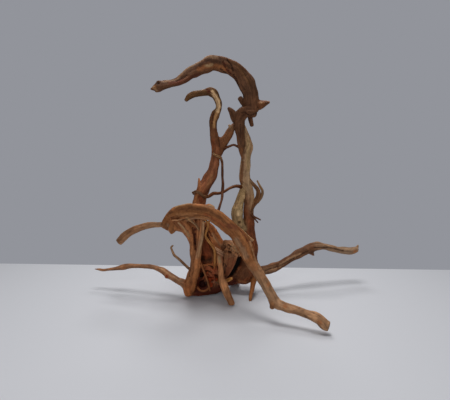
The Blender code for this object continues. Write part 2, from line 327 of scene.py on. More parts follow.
@dataclass(frozen=True)
class Mark:
    """A place where the wood differs, or where shade or a highlight is painted: a line over the surface,
    in mm, and what is within the radius of it.

    lift raises the wood, or sinks it where it is negative. crumble is the height of the crumbs on it.
    amount is the share of the tint.
    """

    what: str
    line: tuple[Place, ...]
    radius: float
    tint: Tint | None = None
    amount: float = 1.0
    lift: float = 0.0
    crumble: float = 0.0
    ragged: float = 0.25

    STEP = 2.5
    SNAP = 6.0

    def nearness(self, points: np.ndarray) -> np.ndarray:
        """Gives 1 on the mark and 0 off it, with an uneven edge.

        Places along the line are moved to the nearest point of the skin. The distance to the nearest of
        them, as a share of the radius, is shifted by noise, and the share falls from 1 to 0 as that goes
        from 0.5 to 1.3.

        Args:
            points: Points of the skin, in mm.

        Returns:
            The share of the mark at each point.
        """
        line = np.array(self.line, dtype=float)
        span = np.concatenate(((0,), np.cumsum(np.linalg.norm(np.diff(line, axis=0), axis=1))))
        at = np.linspace(0, span[-1], int(span[-1] / self.STEP) + 1)
        line = np.stack([np.interp(at, span, column) for column in line.T], axis=1)
        margin = 2 * self.radius + self.SNAP
        inside = (points > line.min(axis=0) - margin) & (points < line.max(axis=0) + margin)
        near = np.flatnonzero(inside.all(axis=1))
        share = np.zeros(len(points))
        if not len(near):
            log.warning("nothing is near the mark %s", self.what)
            return share
        local = points[near]
        line = local[((local[:, None] - line) ** 2).sum(axis=2).argmin(axis=0)]
        away = np.sqrt(((local[:, None] - line) ** 2).sum(axis=2).min(axis=1)) / self.radius
        away = away + self.ragged * LatticeNoise(51)(local / (0.9 * self.radius + 1.5))
        share[near] = 1 - smooth_between(0.5, 1.3, away)
        return share


@dataclass(frozen=True)
class Limb:
    """A part of the root that is told apart by eye: what it is grown from, and the marks on it."""

    roots: tuple[Root, ...] = ()
    marks: tuple[Mark, ...] = ()


@dataclass(frozen=True)
class RightTrunk(Limb):
    """The right trunk: a swollen foot, a slim pale stem and the pale bulge on its left side."""

    roots: tuple[Root, ...] = (
        Root("right_trunk", Tint.TRUNK_RED, ribs=0.8, route=(
            (57, 14, 34, 21), (64, 10, 53, 21.5), (70, 8, 76, 15.9), (72, 8, 97, 12.7), (68, 9, 117, 11.8),
            (66, 10, 141, 10.8), (65, 10, 165, 9.6), (64, 9, 187, 8.6), (62, 8, 204, 6.5))),
        Root("right_stem", Tint.STEM_TAN, route=(
            (65, 9, 176, 7), (64, 8, 196, 8.2), (61, 6, 216, 9.2), (58, 6, 236, 9.3), (59, 6, 258, 9.4),
            (61, 5, 276, 9.6), (64, 5, 292, 9.2), (62, 5, 304, 7.6), (59, 5, 317, 5.2), (56, 5, 329, 2.6))),
        Root("trunk_bulge", Tint.BULGE_TAN, ribs=0.6, route=(
            (56, 2, 217, 5.5), (51, -2, 198, 7.4), (47, -5, 184, 8.6), (44, -7, 170, 10.6),
            (44, -7, 160, 11.1), (47, -5, 147, 10.2), (54, 0, 134, 7.5))),
        Root("bulge_knob", Tint.BULGE_TAN, ribs=0.6, route=((44, -14, 170, 5.2), (45, -17, 163, 3.4))),
        Root("side_strand", Tint.LOOP_TAN, ribs=0.6, route=(
            (62, 4, 236, 4.5), (69, 2, 216, 3.6), (72, 2, 196, 4.2), (70, 4, 176, 4.6), (68, 8, 156, 4.2))),
    )
    marks: tuple[Mark, ...] = (
        Mark("stem_shade", ((50, -7, 285), (51, -1, 247), (52, 2, 221)), 4, Tint.FORK_BROWN, 0.9),
        Mark("stem_gold", ((58, -4, 266), (58, -4, 213)), 3, Tint.LOOP_TAN, 0.9),
        Mark("stem_pale", ((63, -3, 303), (63, -3, 247)), 3.2, Tint.BULGE_TAN, 0.9),
        Mark("bulge_bare", ((46, -18, 166),), 5.5, Tint.CREAM, 0.9),
        Mark("bulge_dull", ((43, -13, 182),), 4.5, Tint.OLIVE_BROWN, 0.5),
        Mark("bulge_hole", ((47, -16, 150),), 3.2, Tint.UMBER, 0.75, lift=-1.4),
        Mark("stem_knot", ((56, -9, 197),), 3.5, Tint.PALE, 1, lift=0.7),
    )


@dataclass(frozen=True)
class LeftTrunk(Limb):
    """The left trunk with its fork, the small hook above it and the strand on its left side."""

    roots: tuple[Root, ...] = (
        Root("left_trunk", Tint.TRUNK_ORANGE, route=(
            (-4, 6, 31, 20), (-7, 3, 59, 19.5), (-11, 0, 84, 17.5), (-20, -4, 113, 14),
            (-29, -8, 141, 11.5), (-31, -9, 168, 11.4), (-30, -8, 185, 11.8), (-26, -7, 199, 12.1),
            (-20, -5, 214, 12.9), (-9, -2, 230, 11.8), (-2, 0, 247, 10.2), (2, 2, 266, 9.7),
            (5, 3, 285, 9.8), (2, 4, 303, 8.8), (-1, 4, 322, 7.1))),
        Root("small_hook", Tint.SMALL_HOOK, ribs=1.2, route=(
            (2, 4, 303, 8.4), (-1, 4, 322, 7.1), (-1, 3, 340, 6.9), (3, 2, 350, 7.3), (8, 1, 359, 5.6),
            (9, 0, 369, 5.9), (5, -1, 379, 6.4), (1, -3, 386, 7.5), (-7, -5, 390, 7.6), (-17, -8, 388, 6.2),
            (-28, -10, 386, 6), (-38, -12, 384, 5.9), (-45, -13, 380, 5.2), (-50, -14, 374, 3.2))),
        Root("neck_knot", Tint.SMALL_HOOK, route=((-3, 1, 345, 4.8), (-6, 1, 342, 3.3))),
        Root("crotch", Tint.FORK_BROWN, flat=0.8, route=(
            (7, 3, 288, 8.7), (10, 4, 300, 6.8), (12, 5, 306, 4.1))),
        Root("left_fork", Tint.FORK_BROWN, end=End.SPLIT, route=(
            (5, 3, 274, 8.3), (12, 4, 290, 8.7), (20, 6, 303, 7.9), (28, 8, 316, 6.8), (33, 10, 325, 5.7),
            (37, 12, 332, 4.2))),
        Root("fork_nub", Tint.LOOP_TAN, end=End.SPLIT, route=(
            (33, 9, 322, 3.8), (30, 6, 328, 3.2), (27, 5, 331, 2))),
        Root("trunk_strand", Tint.LEG_BROWN, end=End.SPLIT, route=(
            (-34, -14, 182, 6), (-32, -13, 199, 6.4), (-27, -11, 214, 5.6), (-28, -9, 224, 3.4),
            (-29, -8, 232, 1.6))),
    )
    marks: tuple[Mark, ...] = (
        # small_hook_bare and neck_stripe: pale bare wood with a painted highlight on the lit face of the
        # small hook
        Mark("small_hook_bare", ((-2, -12, 387), (4, -7, 379), (8, -5, 367), (6, -5, 356)), 4.4,
             Tint.BARE_LIT_HOOK, 0.95, lift=0.4),
        Mark("neck_stripe", ((4, -4, 352), (0, -3, 339), (-1, -3, 328)), 3, Tint.HONEY, 0.9),
        Mark("small_groove", ((-14, -12, 392), (-2, -9, 388)), 1.5, Tint.MAROON, 0.8, lift=-0.8),
        Mark("neck_groove", ((-2, -3, 350), (-5, -3, 334)), 2, Tint.MAROON, 0.8, lift=-1),
        Mark("small_hook_top", ((-36, -14, 389), (-18, -12, 393)), 2, Tint.LOOP_TAN, 0.7),
        Mark("trunk_ridge", ((-28, -20, 172), (-30, -20, 150), (-22, -20, 126)), 4, Tint.HONEY, 0.35),
        Mark("trunk_bare", ((-12, -16, 218), (-4, -13, 236)), 4, Tint.HONEY, 0.3),
        Mark("fork_red", ((-4, -5, 290), (-3, -5, 304)), 3.4, Tint.RUST, 0.5),
        Mark("small_hook_red", ((-9, -12, 389),), 4, Tint.MAROON, 0.8),
        Mark("fork_crack", ((9, -3, 305), (10, -5, 290)), 1.7, Tint.UMBER, 0.7, lift=-1),
        Mark("trunk_knot", ((-36, -15, 205),), 3.2, Tint.UMBER, 0.6, lift=0.7),
        Mark("trunk_hollow", ((-28, -20, 198), (-23, -19, 189)), 3.2, Tint.RUST, 0.6, lift=-0.9),
    )


@dataclass(frozen=True)
class GreatHook(Limb):
    """The heavy hook, its splice down the right trunk, and its stubs."""

    roots: tuple[Root, ...] = (
        Root("great_hook", Tint.HOOK_BROWN, flat=0.9, ribs=1.3, route=(
            (69, -2, 351, 9.2), (69, -2, 361, 12.5), (68, -3, 373, 13.6), (66, -4, 387, 13.5),
            (60, -7, 399, 13.2), (52, -10, 411, 12.9), (43, -13, 421, 12.5), (32, -17, 427, 12.2),
            (22, -20, 430, 11.2), (10, -24, 432, 10.8), (-3, -28, 433, 11.6), (-14, -32, 427, 11.2),
            (-26, -35, 421, 9.4), (-38, -38, 415, 9.2), (-48, -41, 407, 9.2), (-60, -44, 399, 7.6),
            (-71, -47, 395, 6.6), (-83, -49, 392, 7.1), (-92, -51, 389, 7.5), (-98, -52, 387, 5),
            (-104, -53, 385, 1.5))),
        Root("hook_step", Tint.HOOK_BROWN, route=(
            (-28, -37, 425, 5.5), (-36, -39, 420, 4.9), (-42, -39, 417, 3.4))),
        Root("crown_lump", Tint.HOOK_BROWN, route=((-30, -36, 427, 4.2), (-23, -35, 431, 3.4))),
        Root("tip_prong", Tint.UMBER, end=End.SPLIT, route=(
            (-86, -51, 394, 4.4), (-91, -52, 396, 3.2), (-94, -52, 397, 1.7))),
        Root("tip_tooth", Tint.HOOK_BROWN, end=End.SPLIT, route=(
            (-86, -51, 388, 5), (-92, -52, 383, 3.4), (-97, -52, 381, 1.6))),
        Root("hook_splice", Tint.HOOK_BROWN, ribs=1.2, route=(
            (68, -1, 358, 11.1), (55, -3, 353, 11), (47, -4, 343, 10.3), (46, -4, 329, 8.5),
            (48, -4, 312, 7.2), (50, -3, 294, 6), (52, -1, 279, 4.5), (55, 2, 266, 2.3))),
        Root("base_lip", Tint.HOOK_BROWN, route=(
            (53, -8, 356, 3.6), (60, -12, 352, 4), (69, -11, 352, 4), (79, -6, 357, 3.3))),
        Root("hook_knob", Tint.FORK_BROWN, flat=0.8, end=End.SPLIT, route=(
            (73, -2, 367, 10), (84, -3, 367, 8.4), (93, -4, 369, 5.2), (101, -5, 371, 2.2))),
        Root("upper_stub", Tint.HOOK_BROWN, end=End.SPLIT, route=(
            (59, 0, 366, 6.3), (52, 3, 374, 5.5), (47, 5, 380, 4.4))),
        Root("lower_stub", Tint.HOOK_BROWN, end=End.SPLIT, route=(
            (65, 2, 353, 5.9), (68, 5, 341, 5), (71, 8, 330, 4.1))),
        Root("splice_spur", Tint.HOOK_BROWN, flat=0.7, end=End.SPLIT, route=(
            (46, -4, 334, 8.5), (37, -4, 347, 7.4), (30, -3, 357, 4.4), (26, -3, 361, 2.4))),
    )
    marks: tuple[Mark, ...] = (
        Mark("hook_crown", ((-12, -39, 435), (15, -32, 436)), 4, Tint.UMBER, 0.6),
        # painted highlight along the top outline of the great hook
        Mark("hook_outer_edge", ((-60, -46, 408), (-35, -42, 427), (-14, -36, 440), (6, -31, 441)), 3,
             Tint.OLIVE_BROWN, 0.8),
        Mark("hook_inner_band", ((-60, -49, 395), (-44, -46, 402), (-26, -40, 411)), 4.5, Tint.MAROON, 0.5),
        Mark("hook_dark_band", ((-30, -42, 424), (-10, -37, 434), (10, -32, 434)), 3, Tint.UMBER, 0.5),
        Mark("hook_inner_edge", ((38, -18, 406), (46, -12, 396), (51, -8, 380)), 4, Tint.UMBER, 0.5),
        Mark("hook_bare", ((-24, -42, 420), (-16, -41, 424), (-4, -37, 426), (8, -33, 426), (22, -29, 424)),
             4, Tint.STRAND_TAN, 0.7, lift=-0.6),
        Mark("hook_bare_bright", ((-12, -40, 426), (-2, -37, 428)), 2.6, Tint.PALE, 0.8),
        Mark("hook_crack_high", ((17, -33, 434), (22, -30, 425), (29, -24, 416)), 1.9, Tint.MAROON, 0.9,
             lift=-1.5),
        Mark("hook_crack_mid", ((25, -29, 438), (32, -27, 429), (34, -26, 421)), 1.8, Tint.UMBER, 0.9,
             lift=-1.4),
        Mark("hook_crack_near", ((13, -30, 423), (22, -25, 417)), 1.6, Tint.UMBER, 0.9, lift=-1.2),
        Mark("hook_crack", ((35, -22, 415), (49, -11, 398)), 1.9, Tint.UMBER, 0.9, lift=-1.4),
        Mark("hook_groove", ((-44, -47, 408), (-62, -50, 398)), 1.7, Tint.UMBER, 0.6, lift=-0.8),
        Mark("hook_ridge_right", ((34, -26, 434), (50, -22, 422), (62, -17, 402)), 4, Tint.SMALL_HOOK, 0.6),
        Mark("splice_groove", ((48, -12, 330), (49, -11, 308)), 1.6, Tint.UMBER, 0.7, lift=-0.9),
        Mark("tip_edge", ((-83, -54, 398), (-69, -51, 401), (-55, -51, 404)), 2.2, Tint.OLIVE_BROWN, 0.9),
        Mark("tip_red", ((-72, -53, 394), (-53, -48, 400)), 3.4, Tint.MAROON, 0.7),
        Mark("tip_face", ((-97, -56, 387),), 3.5, Tint.KNOT_BROWN, 0.7),
        # painted shade: near black in the notch at the hook's tip
        Mark("tip_hole", ((-92, -56, 394),), 2.4, Tint.SHADE_BLACK, 0.8, lift=-1.6),
        Mark("tip_slant", ((-94, -55, 382), (-100, -55, 388)), 2.4, Tint.LOOP_TAN, 0.7),
        Mark("knob_face", ((96, -8, 370),), 4, Tint.UMBER, 0.8),
        Mark("knob_top", ((86, -11, 372),), 3, Tint.LOOP_TAN, 0.7),
        Mark("base_crack", ((52, -16, 351), (65, -11, 349), (78, -4, 354)), 1.9, Tint.UMBER, 0.9,
             lift=-1.1),
    )


@dataclass(frozen=True)
class FrontArch(Limb):
    """The flattened root that arches over the front, with the plate it leaves and the sawn left arm."""

    roots: tuple[Root, ...] = (
        Root("front_arch", Tint.ARCH_BROWN, flat=0.72, route=(
            (-84, -38, 149, 10.9), (-75, -44, 162, 14.4), (-58, -52, 173, 16.8), (-38, -59, 179, 14),
            (-18, -64, 179, 12.1), (1, -68, 173, 11.4), (20, -71, 160, 12), (37, -75, 145, 13),
            (52, -80, 126, 14), (60, -86, 106, 12.2), (72, -93, 84, 9.4), (82, -98, 70, 8))),
        Root("arch_foot", Tint.LOW_ROOT, flat=0.72, end=End.SAWN, route=(
            (66, -90, 94, 9.4), (72, -93, 84, 9.6), (86, -101, 63, 8.4), (95, -108, 47, 8.6),
            (103, -114, 35, 9.7), (116, -120, 31, 8.1), (134, -127, 29, 7.2), (150, -134, 26, 7.3),
            (161, -140, 24, 9.1), (170, -144, 19, 8.4), (176, -147, 14, 8.2), (180, -149, 13, 7.7))),
        Root("arch_knee", Tint.ARCH_BROWN, route=((100, -114, 35, 7.2), (97, -115, 28, 4.3))),
        Root("plate_flake", Tint.ARCH_BROWN, flat=0.6, end=End.SPLIT, route=(
            (-71, -46, 158, 11.1), (-75, -46, 147, 9.4), (-76, -45, 140, 6.5), (-77, -45, 135, 2.2))),
        Root("arch_bump", Tint.PINKISH, flat=0.8, route=(
            (-13, -65, 185, 5.2), (-7, -66, 188, 4.3), (0, -67, 186, 3.3))),
        Root("arch_ledge", Tint.PINKISH, route=(
            (-43, -60, 166, 3), (-30, -63, 169, 2.8), (-16, -67, 168, 2.6), (-4, -69, 166, 2.2))),
        Root("plate_strand", Tint.LOOP_TAN, route=(
            (-72, -57, 162, 2.1), (-60, -61, 164, 2.1), (-50, -61, 167, 2.3), (-42, -57, 162, 2.1),
            (-34, -54, 155, 1.9), (-27, -53, 145, 1.8))),
        Root("arch_splinter", Tint.ARCH_BROWN, flat=0.7, end=End.SPLIT, route=(
            (54, -79, 136, 6.1), (61, -81, 134, 4.1), (68, -82, 132, 1.4))),
        Root("left_arm", Tint.ARM_BROWN, flat=0.85, end=End.SAWN, route=(
            (-72, -42, 155, 7.2), (-87, -38, 151, 5.3), (-101, -35, 149, 4.9), (-114, -32, 148, 5.3),
            (-128, -29, 145, 6.1), (-142, -27, 140, 6.7), (-156, -25, 133, 6.9), (-168, -23, 124, 6.9),
            (-180, -21, 112, 6.6))),
    )
    marks: tuple[Mark, ...] = (
        # arch_top_highlight and arch_rim: painted highlight along the lit top edge of the arch
        Mark("arch_top_highlight", ((-64, -57, 187), (-44, -62, 192)), 4, Tint.PALE, 0.6),
        Mark("arch_rim", ((-47, -60, 192), (-23, -66, 191), (1, -68, 188)), 1.8, Tint.LOOP_TAN, 0.9),
        Mark("arch_band", ((-81, -53, 171), (-73, -57, 177), (-58, -62, 183), (-40, -67, 184),
             (-23, -70, 184), (-6, -72, 181), (8, -75, 173), (20, -78, 163), (30, -80, 155)), 3,
             Tint.FORK_BROWN, 0.6, lift=-0.5),
        Mark("arch_light", ((14, -78, 160), (34, -86, 142), (46, -92, 124), (58, -96, 106), (70, -99, 90)),
             7, Tint.STRAND_TAN, 0.5),
        Mark("plate_pale", ((-62, -63, 174), (-44, -68, 175), (-30, -70, 174)), 3, Tint.KNOT_BROWN, 0.8,
             lift=0.6),
        Mark("arch_under", ((-14, -73, 174), (4, -76, 167), (18, -80, 156)), 3, Tint.RUST, 0.5),
        Mark("splinter_rim", ((46, -75, 156), (54, -77, 147), (62, -80, 139), (68, -82, 133)), 1.8,
             Tint.PALE, 0.9, lift=0.7),
        Mark("splinter_groove", ((44, -80, 150), (52, -83, 141), (57, -86, 132)), 1.8, Tint.TRUNK_RED, 0.8,
             lift=-0.8),
        Mark("face_edge", ((62, -86, 130), (64, -89, 121), (69, -92, 110), (72, -94, 98), (78, -98, 86)), 2,
             Tint.LOW_ROOT, 0.7, lift=0.7),
        Mark("tail_stripe", ((84, -106, 70), (93, -113, 54), (102, -121, 40)), 2.6, Tint.LOW_ROOT, 0.7),
        # painted highlight on the lit top edge of the arch
        Mark("arch_ledge_highlight", ((-30, -67, 191), (-9, -66, 190)), 3.2, Tint.STRAND_TAN),
        Mark("arch_low_edge", ((-30, -69, 170), (-9, -74, 169)), 2.6, Tint.KNOT_BROWN),
        Mark("arch_red", ((27, -79, 158), (37, -81, 154)), 4.5, Tint.MAROON, 0.6),
        Mark("arch_facet", ((38, -88, 134), (55, -94, 108)), 5.5, Tint.LOW_ROOT, 0.9, lift=-0.6),
        Mark("splinter_bare", ((65, -83, 133),), 3, Tint.LOW_ROOT),
        Mark("arch_stripe", ((90, -103, 63),), 4, Tint.STRAND_TAN, 0.8),
        Mark("knee_stain", ((95, -119, 29),), 5, Tint.HOOK_BROWN, 0.6),
        Mark("foot_fleck", ((138, -131, 35),), 2.2, Tint.UMBER, 0.6),
        Mark("foot_fleck_low", ((143, -134, 32),), 2, Tint.UMBER, 0.6),
        Mark("foot_fleck_end", ((158, -141, 31),), 2.2, Tint.UMBER, 0.6),
        Mark("foot_bare", ((117, -125, 35),), 4, Tint.STRAND_TAN, 0.8),
        Mark("foot_end_bare", ((167, -148, 20),), 4, Tint.STRAND_TAN, 0.8),
        Mark("plate_bare", ((-82, -48, 150),), 4, Tint.LOW_ROOT, 0.9),
        Mark("plate_bare_low", ((-68, -50, 146),), 4, Tint.STRAND_TAN, 0.8),
        Mark("plate_light", ((-72, -55, 160), (-60, -60, 158), (-48, -58, 152)), 8, Tint.STRAND_TAN, 0.6),
        Mark("plate_fan", ((-74, -54, 166), (-66, -57, 152), (-60, -54, 144)), 1.6, Tint.TRUNK_RED, 0.8,
             lift=-1),
        Mark("plate_fan_right", ((-62, -61, 165), (-54, -59, 154), (-46, -52, 140)), 1.6, Tint.TRUNK_RED,
             0.8, lift=-1),
        Mark("plate_stain", ((-75, -55, 175),), 5, Tint.UMBER, 0.5),
        Mark("plate_crease", ((-73, -57, 164), (-46, -66, 168)), 1.8, Tint.STRAND_TAN),
        # painted highlight on the lit upper edge of the ledge over the sheet
        Mark("leg_ridge", ((-46, -66, 168), (-37, -51, 156)), 2.4, Tint.HONEY, 0.8),
    )


@dataclass(frozen=True)
class Legs(Limb):
    """The sheet of wood from the plate down to the left foot, and the paler strand over it."""

    roots: tuple[Root, ...] = (
        Root("sheet_leg", Tint.LEG_BROWN, flat=0.75, ribs=1.2, route=(
            (-60, -48, 162, 14.3), (-49, -44, 149, 14.8), (-39, -39, 128, 10.8), (-37, -36, 115, 9),
            (-37, -33, 101, 8.7), (-36, -27, 76, 9.4), (-43, -21, 46, 11.3), (-50, -15, 21, 9.7),
            (-52, -13, 7, 7.8))),
        Root("sheet_hem", Tint.LEG_BROWN, flat=0.7, route=(
            (-65, -46, 147, 7.7), (-55, -45, 144, 7.2), (-47, -41, 133, 5.8), (-41, -37, 117, 5),
            (-41, -33, 101, 4.5), (-41, -30, 87, 4.3), (-40, -27, 76, 4.1))),
        Root("leg_web", Tint.LEG_BROWN, flat=0.6, route=(
            (-26, -52, 158, 4.6), (-28, -48, 131, 4), (-30, -43, 109, 4), (-33, -37, 89, 4.4))),
        Root("pale_leg", Tint.STRAND_TAN, flat=0.8, ribs=1.2, route=(
            (-20, -60, 173, 5.2), (-20, -59, 159, 4), (-21, -56, 142, 3.9), (-23, -51, 125, 3.9),
            (-27, -46, 105, 4.2), (-30, -42, 88, 5.1), (-32, -37, 71, 6.1), (-36, -31, 50, 6),
            (-41, -24, 29, 5.2), (-44, -19, 13, 3.9))),
        Root("leg_cord", Tint.LOOP_TAN, ribs=0.5, route=(
            (-17, -62, 160, 2), (-19, -58, 140, 2), (-22, -54, 122, 2.1), (-26, -49, 106, 2.2),
            (-29, -45, 92, 2))),
    )
    marks: tuple[Mark, ...] = (
        # painted shade: dark maroon in the slit of the sheet
        Mark("leg_slit", ((-35, -50, 146), (-35, -46, 132), (-35, -43, 119), (-34, -42, 104)), 2.6,
             Tint.MAROON, 1, lift=-2.6),
        Mark("leg_light", ((-27, -52, 123), (-30, -48, 108), (-33, -46, 90)), 1.8, Tint.PINKISH, 0.7),
        Mark("sheet_edge", ((-62, -60, 156), (-52, -56, 146), (-45, -48, 133)), 2.2, Tint.PALE, 0.8,
             lift=0.5),
        Mark("sheet_crack", ((-48, -30, 70), (-46, -26, 48)), 1.6, Tint.UMBER, 0.9, lift=-1.2),
    )


@dataclass(frozen=True)
class Burl(Limb):
    """The knot of short thick roots that everything grows from, and the feet that it stands on."""

    roots: tuple[Root, ...] = (
        Root("leg_back", Tint.CAVITY_RED, route=(
            (-31, -14, 115, 5.7), (-28, -13, 95, 6.9), (-26, -12, 77, 7.7), (-24, -11, 58, 8.7))),
        *(Root("orange_lump", Tint.TRUNK_ORANGE, route=route) for route in (
            ((-24, -28, 66, 3), (-17, -31, 65, 3.6), (-10, -35, 68, 4)),
            ((-10, -33, 66, 3.6), (-4, -36, 63, 4.2), (0, -37, 58, 3.4)),
            ((2, -35, 70, 3.6), (4, -37, 64, 3.4), (6, -36, 57, 3)),
            ((-8, -33, 57, 3.2), (-3, -35, 53, 3.4)),
        )),
        *(Root("red_lump", Tint.BURL_RED, route=route) for route in (
            ((-13, -31, 58, 3), (-15, -28, 50, 3), (-14, -24, 42, 3)),
            ((-3, -31, 46, 3.2), (4, -31, 43, 3.2)),
            ((-8, -28, 44, 3.4), (-8, -22, 28, 4.4)),
            ((-30, -20, 62, 4), (-33, -18, 44, 4.4)),
        )),
        Root("cellar_root", Tint.BURL_LOW, route=(
            (-51, -12, 12, 9), (-31, -9, 10.5, 9), (-10, -5, 12, 8.8), (8, 0, 15.5, 9.5), (28, 7, 33, 11),
            (50, 12, 42, 16))),
        Root("burl_heart", Tint.TRUNK_RED, route=(
            (-24, 8, 40, 15), (5, 16, 46, 20), (34, 18, 48, 25), (60, 16, 46, 22))),
        Root("burl_saddle", Tint.CAVITY_RED, route=(
            (-16, 0, 96, 12), (6, 6, 90, 15), (26, 9, 82, 17), (48, 10, 76, 19), (69, 9, 72, 15))),
        Root("burl_floor", Tint.BURL_LOW, route=(
            (-47, -9, 20, 11), (-24, 4, 25, 15), (2, 8, 25, 16), (26, 12, 33, 18), (52, 14, 41, 18))),
        Root("back_foot", Tint.TRUNK_RED, facing=SIDEWAYS, route=(
            (34, 18, 42, 14), (40, 38, 22, 10.5), (42, 56, 8, 8.5), (43, 62, 4, 7.5))),
        Root("back_left_foot", Tint.TRUNK_RED, facing=SIDEWAYS, route=(
            (-12, 6, 58, 13), (-26, 20, 36, 10.5), (-36, 36, 14, 8.5), (-39, 44, 4, 7.5))),
        Root("stump_root", Tint.STUMP_TAN, end=End.SAWN, route=(
            (8, -38, 102, 4.4), (10, -39, 89, 5.3), (13, -41, 69, 5.4), (14, -42, 52, 5.9),
            (19, -45, 36, 7.2), (25, -47, 21, 7.2), (30, -48, 10, 6.3), (33, -48, 2, 5.8))),
        Root("peg", Tint.ARCH_BROWN, facing=SIDEWAYS, route=(
            (78, 2, 37, 7.2), (75, -12, 26, 5.1), (72, -22, 16, 4), (69, -28, 7, 3.1), (68, -31, 0, 2.2))),
        Root("pale_stub", Tint.GOLD, end=End.SPLIT, route=(
            (6, 0, 32, 5), (14, -18, 35, 4), (19, -25, 37, 3.6), (27, -30, 42, 3.4), (33, -33, 46, 2.6))),
        Root("foot_toe", Tint.INNER_ORANGE, facing=SIDEWAYS, route=(
            (-52, -15, 27, 8.2), (-52, -19, 17, 7.5), (-51, -21, 10, 6.4))),
    )
    marks: tuple[Mark, ...] = (
        # pit_left, pit_low, pit_high, pit_middle and pit_strand: painted shade, near black and dark brown in
        # the sunk pits of the burl
        Mark("pit_left", ((-26, -3, 54), (-26, 0, 44)), 6.5, Tint.SHADE_BLACK, 0.75, lift=-3),
        Mark("pit_low", ((-24, -12, 26),), 6, Tint.SHADE_BLACK, 1, lift=-4),
        Mark("pit_high", ((-22, -17, 79), (-10, -17, 79)), 6, Tint.UMBER, 0.75, lift=-1.5),
        Mark("lump_glow", ((-22, -34, 66), (-8, -38, 66), (2, -40, 66), (-4, -38, 54)), 5, Tint.BURL_RED,
             0.45, crumble=1.3),
        # lump_gap and lump_gap_left: painted shade in the gaps between the lumps
        Mark("lump_gap", ((-9, -35, 60), (-1, -36, 60)), 1.6, Tint.UMBER, 0.9, lift=-1.8),
        Mark("lump_gap_left", ((-16, -32, 60), (-18, -26, 48)), 2.2, Tint.UMBER, 0.9, lift=-1.8),
        Mark("pit_strand", ((-17, -15, 29),), 3, Tint.UMBER, 0.9, lift=-1.5),
        Mark("pit_middle", ((6, -12, 47),), 4, Tint.SHADE_BLACK, 0.7, lift=-2),
        Mark("red_slit", ((22, 0, 65), (22, -9, 55)), 3, Tint.RUST, 0.6),
        Mark("foot_grey", ((38, -9, 45),), 5, Tint.UMBER, 0.8),
        # painted highlight on the lit top of the stump root
        Mark("stump_top_highlight", ((9, -44, 90), (10, -44, 82)), 3.4, Tint.PALE, 0.9),
        Mark("stump_groove", ((24, -50, 38), (32, -52, 16)), 1.3, Tint.FORK_BROWN, 0.7, lift=-0.7),
        Mark("stump_shade", ((26, -52, 24), (33, -53, 4)), 8, Tint.HOOK_BROWN, 0.45),
        Mark("foot_shade", ((60, -11, 64), (58, -11, 46), (44, -9, 40)), 11, Tint.HOOK_BROWN, 0.7),
        Mark("foot_rim", ((46, -8, 29), (58, -5, 27), (68, 1, 25)), 2.4, Tint.KNOT_BROWN, 0.7),
    )


